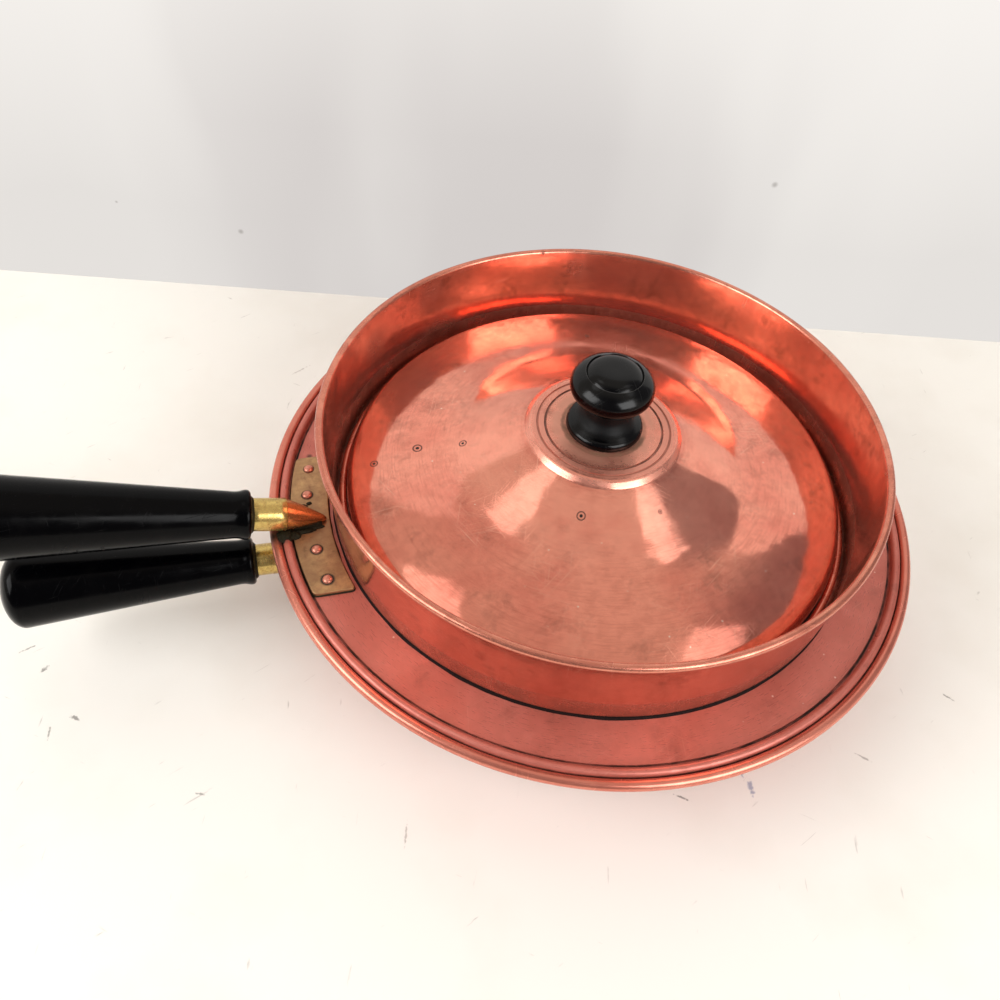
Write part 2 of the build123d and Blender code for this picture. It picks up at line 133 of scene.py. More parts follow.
def stackBumps(tree, bumps):
    # each bump is a height and its depth in millimetres, where a negative depth sinks
    normal = None
    for height, depth in bumps:
        inputs = {"Height": height, "Distance": abs(depth) * mm, "Strength": 1.0}
        if normal:
            inputs["Normal"] = normal
        normal = addNode(tree, "Bump", inputs, invert=depth < 0)
    return normal.outputs[0]


def newMaterial(name):
    material = bpy.data.materials.new(name)
    material.use_nodes = True
    tree = material.node_tree
    tree.nodes.clear()
    shader = addNode(tree, "BsdfPrincipled")
    addNode(tree, "OutputMaterial", {"Surface": shader})
    return material, tree, shader


def dress(piece, material):
    piece.data.materials.clear()
    piece.data.materials.append(material)


def fit(piece, material, node, body):
    # dresses a piece and lets it stand in for its CAD node
    dress(piece, material)
    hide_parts(node)
    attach(piece, body)


def addObject(name, data):
    piece = bpy.data.objects.new(name, data)
    bpy.context.scene.collection.objects.link(piece)
    return piece


# Outlines: a path is a list of (radius, height) points in millimetres

def arcPoints(centre, radius, start, end, steps):
    # angles in degrees, counter-clockwise from +radius
    points = []
    for i in range(steps + 1):
        angle = math.radians(start + (end - start) * i / steps)
        points.append((centre[0] + radius * math.cos(angle), centre[1] + radius * math.sin(angle)))
    return points


def roundedPath(corners, radii, steps=10):
    # straight runs with their inner corners rounded
    points = [Vector(corners[0])]
    for before, corner, after, radius in zip(corners, corners[1:], corners[2:], radii):
        before, corner, after = Vector(before), Vector(corner), Vector(after)
        toBefore, toAfter = (before - corner).normalized(), (after - corner).normalized()
        half = toBefore.angle(toAfter) / 2
        reach = radius / math.tan(half)
        centre = corner + (toBefore + toAfter).normalized() * radius / math.sin(half)
        first, last = corner + toBefore * reach, corner + toAfter * reach
        a, b = first - centre, last - centre
        turn = math.atan2(a.x * b.y - a.y * b.x, a.dot(b))
        for i in range(steps + 1):
            angle = turn * i / steps
            c, s = math.cos(angle), math.sin(angle)
            points.append(centre + Vector((a.x * c - a.y * s, a.x * s + a.y * c)))
    points.append(Vector(corners[-1]))
    return [tuple(p) for p in points]


def sheetSides(path, thickness):
    # the path moved half a thickness to its left and to its right
    left, right = [], []
    for i, point in enumerate(path):
        before = Vector(path[max(i - 1, 0)])
        after = Vector(path[min(i + 1, len(path) - 1)])
        along = (after - before).normalized()
        square = Vector((-along.y, along.x)) * thickness / 2
        left.append(tuple(Vector(point) + square))
        right.append(tuple(Vector(point) - square))
    return left, right


def divideLong(path, longest):
    # no run longer than this, so that dents and waves have points to move
    points = [path[0]]
    for a, b in zip(path, path[1:]):
        runs = max(1, math.ceil(math.dist(a, b) / longest))
        for i in range(1, runs + 1):
            points.append((a[0] + (b[0] - a[0]) * i / runs, a[1] + (b[1] - a[1]) * i / runs))
    return points


# Meshes

def spinShell(builder, outline, steps, closed=False, shape=None):
    # turns an outline round Z; shape moves each point, in millimetres
    rings = []
    for radius, height in outline:
        count = 1 if radius < 1e-6 else steps
        ring = []
        for i in range(count):
            angle = tau * i / steps
            point = Vector((radius * math.cos(angle), radius * math.sin(angle), height))
            if shape:
                point = shape(point)
            ring.append(builder.verts.new(point * mm))
        rings.append(ring)
    pairs = list(zip(rings, rings[1:]))
    if closed:
        pairs.append((rings[-1], rings[0]))
    for a, b in pairs:
        for i in range(steps):
            j = (i + 1) % steps
            if len(a) == 1 and len(b) == 1:
                continue
            if len(a) == 1:
                builder.faces.new((a[0], b[j], b[i]))
            elif len(b) == 1:
                builder.faces.new((a[i], a[j], b[0]))
            else:
                builder.faces.new((a[i], a[j], b[j], b[i]))


def spinRoll(builder, centre, radius, steps, shape):
    # a sheet's edge rolled over its wire
    spinShell(builder, arcPoints(centre, radius, 0, 360, 28)[:-1], steps, True, shape)


def finishMesh(name, builder, sharpDegrees=40, place=None):
    bmesh.ops.recalc_face_normals(builder, faces=builder.faces)
    mesh = bpy.data.meshes.new(name)
    builder.to_mesh(mesh)
    builder.free()
    if place:
        mesh.transform(place)
    mesh.shade_smooth()
    mesh.set_sharp_from_angle(angle=math.radians(sharpDegrees))
    return addObject(name, mesh)


def handWave(amount, size, seed=0.0):
    # slow unevenness of hand-worked sheet, always inwards so that the CAD size holds
    def shape(point):
        wave = noise.noise(point / size + Vector((seed, seed, seed)))
        outward = Vector((point.x, point.y, 0.0))
        if outward.length > 1e-6:
            outward.normalize()
        point = point - outward * amount * (0.5 + 0.5 * wave) + Vector((0, 0, amount * 0.5 * wave))
        point.z = max(point.z, 0.0)
        return point
    return shape


# Camera, as the photograph was taken: close, from above, and turned a little
camera = {
    "place": (-124.4, -248.5, 366.1),
    "aim": (-43.3, -1.2, 58.0),
    "roll": 6.1,  # degrees, right side up
    "lens": 32.2,
}


def addCamera():
    data = bpy.data.cameras.new("camera")
    data.lens = camera["lens"]
    data.clip_start = 0.01
    piece = addObject("camera", data)
    forward = (Vector(camera["aim"]) - Vector(camera["place"])).normalized()
    level = forward.cross(Vector((0, 0, 1))).normalized()
    upright = level.cross(forward)
    roll = math.radians(camera["roll"])
    right = level * math.cos(roll) + upright * math.sin(roll)
    up = upright * math.cos(roll) - level * math.sin(roll)
    turn = Matrix((right, up, -forward)).transposed().to_4x4()
    piece.matrix_world = Matrix.Translation(Vector(camera["place"]) * mm) @ turn
    bpy.context.scene.camera = piece


addCamera()
print("camera set")

# Table and wall: the table's back edge is the line through two points on the table
table = {
    "edge": ((-300.0, 290.0), (334.0, 120.0)),
    "depth": 1600.0,
    "width": 3000.0,
    "wallGap": 25.0,
    "wallFoot": -200.0,
    # the backdrop's top edge: distance along it from the middle of the table's edge, and height
    "wallTop": [(-1500, 300), (-420, 360), (-294, 439), (-216, 500), (-109, 515), (60, 540), (240, 560),
                (400, 560), (440, 500), (470, 430), (486, 335), (505, 200), (520, 40)],
    "colour": "#F6F4ED",
    "smudge": "#ECE8DE",
    "speck": "#8B857E",
    "wallLow": "#E5E1DD",
    # the board's top colour is painted light, and its fold colour is painted shade
    "wallLitHigh": "#FFFBF6",
    "wallFoldShade": "#CCC6C4",
    "wallMarks": [((-147, 275, 25), 2.2), ((172, 189, 86), 2.4), ((-220, 294, 40), 1.2)],  # place and radius
    # turn, marks per metre across, least noise that shows
    "scuffs": [(0.4, 420.0, 0.72), (1.3, 380.0, 0.72), (2.5, 460.0, 0.73)],
    "marks": [  # place, half length and half width, turn, colour
        ((41.0, -131.0), (5.5, 2.2), 80.0, "#8E97B4"), ((40.0, -124.0), (3.0, 1.3), 70.0, "#8E97B4"),
        ((10.0, -129.0), (5.0, 0.8), -35.0, "#6F6B66"), ((-247.0, -46.0), (4.5, 0.8), 85.0, "#8B857E"),
        ((-186.0, -86.0), (3.0, 0.8), -20.0, "#8B857E"), ((-259.0, -2.0), (6.0, 0.7), 20.0, "#8B857E"),
        ((-122.0, 165.0), (10.0, 0.9), 30.0, "#C9C4BC"), ((-107.0, -120.0), (8.0, 0.7), 75.0, "#B5B0AA"),
        ((152.0, -110.0), (4.5, 0.8), -50.0, "#8B857E"), ((97.0, -129.0), (5.5, 0.8), -45.0, "#A39E98"),
        ((-251.0, -14.0), (3.2, 1.4), 40.0, "#6F6B66"), ((-237.0, -41.0), (3.2, 1.6), -40.0, "#6F6B66"),
    ],
}


def addStage():
    # a hair below the pan, so that its flat bottom and the table don't lie in one plane
    a, b = (Vector((*p, -0.05)) for p in table["edge"])
    along = (b - a).normalized()
    back = Vector((-along.y, along.x, 0.0))
    middle = (a + b) / 2
    left, right = middle - along * table["width"] / 2, middle + along * table["width"] / 2
    near = -back * table["depth"]
    foot = middle + back * table["wallGap"]
    low = [foot + along * place + Vector((0, 0, table["wallFoot"])) for place, height in table["wallTop"]]
    high = [foot + along * place + Vector((0, 0, height)) for place, height in table["wallTop"]]
    count = len(low)
    shapes = {
        "table": ([left, right, right + near, left + near], [(0, 1, 2, 3)], makeTable),
        "wall": (low + high, [(i, i + 1, count + i + 1, count + i) for i in range(count - 1)], makeWall),
    }
    for name, (corners, faces, makeSurface) in shapes.items():
        mesh = bpy.data.meshes.new(name)
        mesh.from_pydata([corner * mm for corner in corners], [], faces)
        piece = addObject(name, mesh)
        dress(piece, makeSurface())


def makeTable():
    # white laminate table top: flat and matt, with faint smears and a few scuffs
    material, tree, shader = newMaterial("tableLaminate")
    place = addNode(tree, "TexCoord").outputs["Object"]
    smear = addNode(tree, "TexNoise", {"Vector": place, "Scale": 14.0, "Detail": 4.0})
    ragged = addNode(tree, "TexNoise", {"Vector": place, "Scale": 700.0, "Detail": 3.0})
    layers = [(addNode(tree, "MapRange", [smear, 0.5, 0.72, 0.0, 0.5]), table["smudge"])]
    for turn, across, least in table["scuffs"]:
        streak = addNode(tree, "Mapping", {"Vector": place, "Rotation": (0, 0, turn), "Location": (turn, 3 * turn, 0),
                         "Scale": (7 / across, 1 / across, 1.0)}, vector_type="TEXTURE")
        scuff = addNode(tree, "TexNoise", {"Vector": streak, "Scale": 1.0, "Detail": 3.0, "Distortion": 0.4})
        layers.append((addNode(tree, "MapRange", [scuff, least, least + 0.07, 0.0, 0.42]), table["speck"]))
    for (x, y), (length, width), turn, hexColour in table["marks"]:
        spot = addNode(tree, "VectorMath", [place, (x * mm, y * mm, 0.0)], operation="SUBTRACT")
        spot = addNode(tree, "Mapping", {"Vector": spot, "Rotation": (0, 0, math.radians(turn)),
                       "Scale": (length * mm, width * mm, 1.0)}, vector_type="TEXTURE")
        gap = addNode(tree, "VectorMath", [spot], operation="LENGTH").outputs["Value"]
        gap = addNode(tree, "Math", [ragged, 1.6, gap], operation="MULTIPLY_ADD")
        layers.append((addNode(tree, "MapRange", [gap, 1.5, 1.1, 0.0, 0.75]), hexColour))
    tree.links.new(layColours(tree, table["colour"], layers), shader.inputs["Base Color"])
    shader.inputs["Roughness"].default_value = 0.55
    return material


def makeWall():
    # pale backdrop board, with painted light making it paler towards its top: the camera and the copper
    # see its own colour, and everything else sees a matt board of the same colour
    material, tree, shader = newMaterial("backdropBoard")
    place = addNode(tree, "TexCoord").outputs["Object"]
    axes = addNode(tree, "SeparateXYZ", [place])
    height = addNode(tree, "MapRange", [axes.outputs[2], 0.04, 0.26, 0.0, 1.0])
    streak = addNode(tree, "Mapping", {"Vector": place, "Scale": (9.0, 9.0, 2.6)})
    shade = addNode(tree, "TexNoise", {"Vector": streak, "Scale": 1.0, "Detail": 2.0})
    shade = addNode(tree, "MapRange", [shade, 0.35, 0.65, -0.05, 0.05])
    height = addNode(tree, "Math", [height, shade], operation="ADD", use_clamp=True)
    # painted shade: a slack fold behind the pan, greyer low down
    across = addNode(tree, "Math", [axes.outputs[0], shade], operation="ADD")
    across = addNode(tree, "Math", [across], operation="ABSOLUTE")
    foldShade = addNode(tree, "MapRange", [across, 0.02, 0.22, 0.7, 0.0], interpolation_type="SMOOTHSTEP")
    lowDown = addNode(tree, "MapRange", [axes.outputs[2], 0.26, 0.1, 0.0, 1.0])
    foldShade = addNode(tree, "Math", [foldShade, lowDown], operation="MULTIPLY")
    layers = [(height, table["wallLitHigh"]), (foldShade, table["wallFoldShade"])]
    # small marks on the board
    for mark, size in table["wallMarks"]:
        gap = addNode(tree, "VectorMath", [place, Vector(mark) * mm], operation="DISTANCE").outputs["Value"]
        layers.append((addNode(tree, "MapRange", [gap, size * mm, size * 0.3 * mm, 0.0, 0.5]), table["speck"]))
    body = layColours(tree, table["wallLow"], layers)
    tree.links.new(body, shader.inputs["Base Color"])
    shader.inputs["Roughness"].default_value = 0.8
    path = addNode(tree, "LightPath")
    seen = strongest(tree, [path.outputs["Is " + kind + " Ray"] for kind in ("Camera", "Glossy", "Transmission")])
    shown = addNode(tree, "Emission", {"Color": body, "Strength": 1.0})
    both = addNode(tree, "MixShader", [seen, shader.outputs[0], shown.outputs[0]])
    # the board has one side: from behind it one looks through to the pan
    behind = addNode(tree, "NewGeometry").outputs["Backfacing"]
    behind = addNode(tree, "Math", [behind, path.outputs["Is Camera Ray"]], operation="MULTIPLY")
    clear = addNode(tree, "BsdfTransparent")
    both = addNode(tree, "MixShader", [behind, both.outputs[0], clear.outputs[0]])
    tree.links.new(both.outputs[0], tree.nodes["Material Output"].inputs["Surface"])
    return material


addStage()
print("table and wall placed")

# Light: a window on the left and one on the right behind the camera, a pale room ahead, and a
# dimmer room behind the camera
lights = {
    "leftWindow": {"azimuth": 190.0, "height": 36.0, "distance": 1300.0, "size": (740.0, 740.0), "watts": 9.0},
    "rightWindow": {"azimuth": -64.0, "height": 35.0, "distance": 1300.0, "size": (780.0, 740.0), "watts": 9.4},
    "leftLamp": {"azimuth": 152.0, "height": 65.0, "distance": 1300.0, "size": (260.0, 260.0), "watts": 0.2},
    "rightLamp": {"azimuth": -19.0, "height": 61.0, "distance": 1300.0, "size": (260.0, 260.0), "watts": 0.22},
}
room = {
    "ceiling": "#D8CFC5",
    "patches": [  # azimuth, height, degrees to its full colour, degrees to its end, colour
        (2.0, 30.0, 20.0, 38.0, "#8A8688"),
        (-116.0, 28.0, 28.0, 58.0, "#6C696B"),
    ],
}


def skyDirection(azimuth, rise):
    around, rise = math.radians(azimuth), math.radians(rise)
    return Vector((math.cos(around) * math.cos(rise), math.sin(around) * math.cos(rise), math.sin(rise)))


def addLights():
    for name, lamp in lights.items():
        data = bpy.data.lights.new(name, "AREA")
        data.shape = "RECTANGLE"
        data.size, data.size_y = (side * mm for side in lamp["size"])
        data.energy = lamp["watts"]
        away = skyDirection(lamp["azimuth"], lamp["height"])
        turn = away.to_track_quat("Z", "Y").to_matrix().to_4x4()
        addObject(name, data).matrix_world = Matrix.Translation(away * lamp["distance"] * mm) @ turn
    world = bpy.data.worlds.new("room")
    bpy.context.scene.world = world
    world.use_nodes = True
    tree = world.node_tree
    place = addNode(tree, "TexCoord").outputs["Generated"]
    layers = []
    for azimuth, rise, inner, outer, hexColour in room["patches"]:
        toPatch = addNode(tree, "VectorMath", [place, skyDirection(azimuth, rise)], operation="DOT_PRODUCT")
        edges = (math.cos(math.radians(angle)) for angle in (outer, inner))
        layers.append((addNode(tree, "MapRange", [toPatch.outputs["Value"], *edges, 0.0, 1.0],
                               interpolation_type="SMOOTHSTEP"), hexColour))
    tree.links.new(layColours(tree, room["ceiling"], layers), tree.nodes["Background"].inputs["Color"])
    bpy.context.scene.view_settings.view_transform = "Standard"


addLights()
print("lights set")

# Copper: soft metal worked by hand, rubbed bright and browned again, so the eye gets a
# salmon-pink satin mirror with fine turning lines, random scratches, and dark dirt with painted shade in every
# crease.
# A film of fine scratches and dried polish scatters part of the light, so no finish is wholly metal.
copper = {
    "fresh": "#F19C85",
    "rosy": "#E68A76",
    "brown": "#A85F4C",
    "line": "#C4705C",
    "smudge": "#5E3428",
    "scratch": "#F3BCA6",
    "dirt": "#241712",
    "dust": "#E8C4B4",
    # pattern sizes
    "cloudSize": 38.0,
    "mottleSize": 4.5,
    "smudgeSize": 15.0,
    "scratchPatchSize": 30.0,
    "dustSpacing": 2.6,
    "raggedSize": 2.2,
    "ringPatchSize": 11.0,
    "marks": {"size": (22.0, 0.42, 26.0), "shift": (31.0, 17.0, 0.0), "tilt": (0.0, 0.0), "detail": 2.5,
              "bend": 0.35, "shows": (0.62, 0.74)},
    "scratchDepth": 0.012,
}


def makeCopper(name, finish):
    # finish: roughness, lines, scratches, mottle, spots of dirt, tarnish, painted shadow and painted reflection
    # as (place, reach, strength, colour), and tints, some of them painted light, stains, some of them painted shade,
    # and rings of dirt and painted crevice shade as (radius, half width, low, high, strength, colour)
    material, tree, shader = newMaterial(name)
    point, height, flat, radius = measurePlace(tree)
    around = addNode(tree, "VectorMath", [flat], operation="NORMALIZE")

    # turning lines left by the spinner's tool
    turned = addNode(tree, "VectorMath", {0: around, 3: finish["lineLength"]}, operation="SCALE")
    turned = addNode(tree, "SeparateXYZ", [turned])
    depth = addNode(tree, "Math", [radius, height], operation="SUBTRACT")
    lineSpace = addNode(tree, "Math", [depth, finish["linesPerMm"]], operation="MULTIPLY")
    lines = addNode(tree, "CombineXYZ", [turned.outputs[0], turned.outputs[1], lineSpace])
    lines = addNode(tree, "TexNoise", {"Vector": lines, "Scale": 1.0, "Detail": 3.0})

    # tarnish: wide cloudy change, then a finer mottle, then the lines
    cloud = addNode(tree, "TexNoise", {"Vector": point, "Scale": 1 / copper["cloudSize"], "Detail": 5.0,
                    "Distortion": 0.6})
    mottle = addNode(tree, "TexNoise", {"Vector": point, "Scale": 1 / copper["mottleSize"], "Detail": 6.0,
                     "Roughness": 0.6})
    mottled = addNode(tree, "MapRange", [mottle, 0.42, 0.75, 0.0, finish["mottle"]])
    layers = [
        (addNode(tree, "MapRange", [cloud, 0.38, 0.64, 0.0, 1.0]), finish.get("rosy", copper["rosy"])),
        (mottled, copper["brown"]),
        (addNode(tree, "MapRange", [lines, 0.5, 0.68, 0.0, finish.get("lineTint", 0.3)]), copper["line"]),
    ]

    # the outer side, less rubbed than the inner one
    if "outside" in finish:
        hexColour, strength = finish["outside"]
        normal = addNode(tree, "NewGeometry").outputs["Normal"]
        facing = addNode(tree, "VectorMath", [normal, around], operation="DOT_PRODUCT").outputs["Value"]
        layers.append((addNode(tree, "MapRange", [facing, 0.0, 0.5, 0.0, strength]), hexColour))

    # smudges where hands and heat have darkened it, scratches in patches, and dust
    smudge = addNode(tree, "TexNoise", {"Vector": point, "Scale": 1 / copper["smudgeSize"], "Detail": 7.0,
                     "Roughness": 0.66, "Distortion": 0.2})
    layers.append((addNode(tree, "MapRange", [smudge, 0.55, 0.73, 0.0, finish["smudge"]]), copper["smudge"]))
    patch = addNode(tree, "TexNoise", {"Vector": point, "Scale": 1 / copper["scratchPatchSize"], "Detail": 2.0})
    patch = addNode(tree, "MapRange", [patch, 0.42, 0.62, 0.0, finish["scratches"]])
    scratches = findScratches(tree, point, finish["scratchTurns"], copper["marks"])
    scratches = addNode(tree, "Math", [scratches, patch], operation="MULTIPLY")
    layers.append((scratches, copper["scratch"]))
    layers.append((findDust(tree, point, copper["dustSpacing"], 0.1, 0.19, finish["dust"], 1.0), copper["dust"]))

    # spots of tarnish and dirt, and spots of painted shadow and painted reflection, ragged at the edge
    stainsAndPaintedShade, dirty = [], []
    for spot, reach, strength, hexColour in finish.get("spots", ()):
        gap = addNode(tree, "VectorMath", [point, spot], operation="DISTANCE").outputs["Value"]
        gap = addNode(tree, "Math", [mottle, reach * 1.2, gap], operation="MULTIPLY_ADD")
        stainsAndPaintedShade.append(addNode(tree, "MapRange", [gap, reach * 2.0, reach * 0.7, 0.0, strength],
                               interpolation_type="SMOOTHSTEP"))
        layers.append((stainsAndPaintedShade[-1], hexColour))

    # tints, stains and rings of tarnish and dirt, with painted light and painted crevice shade among them, uneven
    # round the pan
    ragged = addNode(tree, "TexNoise", {"Vector": point, "Scale": 1 / copper["raggedSize"], "Detail": 4.0})
    patchy = addNode(tree, "TexNoise", {"Vector": point, "Scale": 1 / copper["ringPatchSize"], "Detail": 3.0})
    patchy = addNode(tree, "MapRange", [patchy, 0.38, 0.55, 0.5, 1.0])
    for kind, found in (("tints", []), ("stains", stainsAndPaintedShade), ("rings", dirty)):
        for centre, half, low, high, strength, hexColour in finish.get(kind, ()):
            away = addNode(tree, "Math", [radius, centre], operation="SUBTRACT")
            away = addNode(tree, "Math", [away], operation="ABSOLUTE")
            wide = addNode(tree, "MapRange", [ragged, 0.3, 0.7, half * 0.75, half * 1.3])
            amount = addNode(tree, "MapRange", [away, wide, half * 0.35, 0.0, 1.0])
            above = addNode(tree, "MapRange", [height, low, low + 0.4, 0.0, strength])
            below = addNode(tree, "MapRange", [height, high, high - 0.4, 0.0, 1.0])
            for limit in (above, below, patchy):
                amount = addNode(tree, "Math", [amount, limit], operation="MULTIPLY")
            found.append(amount)
            layers.append((amount, hexColour))

    # small pits with a thin stain round them
    for (pitX, pitY), size in finish.get("pits", ()):
        gap = addNode(tree, "VectorMath", [flat, (pitX, pitY, 0.0)], operation="DISTANCE").outputs["Value"]
        core = addNode(tree, "MapRange", [gap, size * 0.45, size * 0.7, 1.0, 0.0])
        halo = addNode(tree, "Math", [gap, size * 1.35], operation="SUBTRACT")
        halo = addNode(tree, "Math", [halo], operation="ABSOLUTE")
        halo = addNode(tree, "MapRange", [halo, size * 0.12, size * 0.34, 0.85, 0.0])
        dirty.append(strongest(tree, [core, halo]))
        layers.append((dirty[-1], copper["dirt"]))
    tree.links.new(layColours(tree, finish.get("fresh", copper["fresh"]), layers), shader.inputs["Base Color"])

    # dirt and painted crevice shade aren't metal, and stained places and painted shade spots are less so
    stain, dirt = strongest(tree, stainsAndPaintedShade or [0.0]), strongest(tree, dirty)
    metal = addNode(tree, "MapRange", [dirt, 0.3, 1.0, finish["metal"], 0.25])
    metal = addNode(tree, "Math", [stain, -0.3, metal], operation="MULTIPLY_ADD", use_clamp=True)
    tree.links.new(metal.outputs[0], shader.inputs["Metallic"])

    # roughness: the finish's own, less along the turning lines, more in each kind of dirt
    smooth, coarse = (finish["roughness"] * share for share in finish.get("lineRoughness", (0.75, 1.5)))
    rough = addNode(tree, "MapRange", [lines, 0.3, 0.7, smooth, coarse])
    for amount, more in ((mottled, 0.15), (scratches, 0.18), (stain, 0.3), (dirt, 0.3)):
        rough = addNode(tree, "Math", [amount, more, rough], operation="MULTIPLY_ADD")
    tree.links.new(rough.outputs[0], shader.inputs["Roughness"])

    # bump: slow waves of hand work, then turning lines, then scratches
    wave = addNode(tree, "TexNoise", {"Vector": point, "Scale": 1 / finish["waveSize"], "Detail": 2.0})
    bumps = [(wave, finish["waveDepth"]), (lines, finish["lineDepth"]), (scratches, -copper["scratchDepth"])]
    tree.links.new(stackBumps(tree, bumps), shader.inputs["Normal"])
    return material


# Water pan: spun from one sheet, its edge rolled over a wire
waterPan = {
    "sheet": 1.0,
    "cornerRadius": 24.0,
    "seatBend": 2.0,
    "seatWidth": 11.0,
    "wallTaper": 12.0,
    "rollRadius": 2.25,
    "steps": 288,
    "handWave": (0.12, 45.0, 3.0),  # depth, size, seed
    "finish": {
        "fresh": "#DE8874", "rosy": "#D07663", "metal": 0.72, "roughness": 0.24,
        "lineLength": 40.0, "linesPerMm": 2.5, "lineDepth": 0.001, "lineTint": 0.03, "lineRoughness": (0.96, 1.08),
        "waveSize": 22.0, "waveDepth": 0.2,
        "mottle": 0.14, "smudge": 0.2, "scratches": 0.2, "scratchTurns": (12, 75, 130), "dust": 0.1,
        "stains": [(70.0, 85.0, -1.0, 50.0, 0.75, "#8A5040")],
        # spot: black under the upper sleeve, grime with the sleeve's painted shadow; ring: dark seam line by the
        # flange's roll, dirt with painted crevice shade
        "spots": [((-143.0, -5.5, 60.0), 5.0, 0.95, "#17150F")],
        "rings": [(140.4, 0.4, 55.0, 62.0, 0.8, "#3A1F18")],
    },
}


def spinSheet(builder, path, sheet, steps, shape):
    # a pan's sheet, closed at its middle, from the path through the sheet's own middle
    left, right = sheetSides(path, sheet)
    outline = [(0.0, left[0][1])] + left[1:] + right[:0:-1] + [(0.0, right[0][1])]
    spinShell(builder, outline, steps, False, shape)


def makeWaterPan():
    high = cadBox("water_pan")[1]
    reach, sheet, roll = high.x, waterPan["sheet"], waterPan["rollRadius"]
    mouth = reach - waterPan["seatWidth"]
    foot = mouth - waterPan["wallTaper"]
    rollHeight = high.z - roll
    seat = rollHeight - roll + sheet / 2
    path = roundedPath([(0.0, sheet / 2), (foot, sheet / 2), (mouth + sheet / 2, seat), (reach - roll, seat)],
                       (waterPan["cornerRadius"], waterPan["seatBend"]), 14)
    builder = bmesh.new()
    wave = handWave(*waterPan["handWave"])
    spinSheet(builder, divideLong(path, 6.0), sheet, waterPan["steps"], wave)
    spinRoll(builder, (reach - roll, rollHeight), roll, waterPan["steps"], wave)
    piece = finishMesh("waterPanSheet", builder)
    fit(piece, makeCopper("copperSpunWaterPan", waterPan["finish"]), "water_pan", "water_vessel")


makeWaterPan()
print("water pan made")

# Flange: flat ring round the food pan, its edge rolled up inside the water pan's roll
flange = {
    "sheet": 1.0,
    "rollRadius": 1.9,
    "grooveWidth": 1.3,
    "grooveDepth": 0.5,
    "holeRadius": 109.4,
    "steps": 320,
    "handWave": (0.1, 40.0, 9.0),
    "finish": {
        "fresh": "#CB7668", "rosy": "#BC6658", "metal": 0.38, "roughness": 0.3,
        "lineLength": 30.0, "linesPerMm": 3.0, "lineDepth": 0.004, "lineTint": 0.12,
        "waveSize": 16.0, "waveDepth": 0.22,
        "mottle": 0.3, "smudge": 0.35, "scratches": 0.22, "scratchTurns": (20, 80, 140), "dust": 0.16,
        # first spot: black under the upper sleeve, grime with the sleeve's painted shadow
        "spots": [((-139.5, -7.0, 61.0), 3.6, 0.95, "#17150F"), ((-131.5, 40.5, 58.0), 2.2, 0.8, "#3A2A1A"),
                  ((-124.0, 40.0, 58.0), 1.4, 0.8, "#3A2A1A")],
        # rings: black lines in the groove and at the seam with the water pan's roll, grime with painted crevice shade
        "rings": [(135.6, 0.7, 55.0, 62.0, 1.0, "#211810"), (140.3, 0.3, 55.0, 62.0, 0.7, "#3A1F18")],
    },
}


def makeFlange():
    low, high = cadBox("flange")
    reach, sheet, roll = high.x, flange["sheet"], flange["rollRadius"]
    top, rollCentre = low.z + sheet, reach - roll
    groove = rollCentre - roll - flange["grooveWidth"] / 2
    half, deep = flange["grooveWidth"] / 2, flange["grooveDepth"]
    outline = divideLong([(flange["holeRadius"], low.z), (flange["holeRadius"], top), (groove - half, top)], 5.0)
    outline += [(groove - half + 0.15, top - deep), (groove + half, top - deep), (groove + half, top),
                (rollCentre, top), (rollCentre, low.z)]
    builder = bmesh.new()
    wave = handWave(*flange["handWave"])
    spinShell(builder, outline, flange["steps"], True, wave)
    spinRoll(builder, (rollCentre, low.z + roll), roll, flange["steps"], wave)
    piece = finishMesh("flangeSheet", builder)
    fit(piece, makeCopper("copperRubbedFlange", flange["finish"]), "flange", "food_vessel")


makeFlange()
print("flange made")

# Food pan: floor, lower wall, ledge for the lid, tall wall and a rolled rim
foodPan = {
    "sheet": 1.0,
    "lowerRadius": 107.0,
    "cornerRadius": 13.0,
    "ledgeBend": 2.0,
    "wallFootRadius": 116.8,
    "rollRadius": 1.7,
    "wallHeight": 45.0,
    "steps": 320,
    "handWave": (0.14, 38.0, 5.0),
    "finish": {
        "outside": ("#D27A66", 0.4), "fresh": "#F3A389", "rosy": "#E8917A", "metal": 0.9, "roughness": 0.12,
        "lineLength": 26.0, "linesPerMm": 2.2, "lineDepth": 0.006,
        "waveSize": 20.0, "waveDepth": 0.3,
        "mottle": 0.4, "smudge": 0.5, "scratches": 0.4, "scratchTurns": (8, 60, 150), "dust": 0.05,
        # ring: black line in the crevice where the wall meets the flange, dirt with painted shade; the second stain
        # is painted shade, the wall darker towards its foot
        "rings": [(114.6, 1.1, 58.0, 60.6, 0.8, "#3A1D15")],
        "stains": [(119.7, 2.4, 99.6, 104.0, 0.5, "#B0624F"), (116.0, 2.2, 58.2, 71.0, 0.65, "#7E3E2E")],
        "spots": [((4.7, 118.5, 102.0), 1.2, 0.9, "#3A1D15"), ((22.1, 115.7, 93.7), 6.5, 0.45, "#6E3426"),
                  ((-56.0, 103.7, 96.6), 7.0, 0.35, "#8A4636"), ((-50.3, 105.1, 70.0), 11.0, 0.5, "#6E3426"),
                  ((97.0, 67.3, 98.0), 5.0, 0.35, "#7A3C2C"), ((-86.9, 78.8, 86.9), 9.0, 0.4, "#8A4636"),
                  ((-108.4, 43.3, 75.7), 8.0, 0.4, "#7A3C2C")],
    },
}


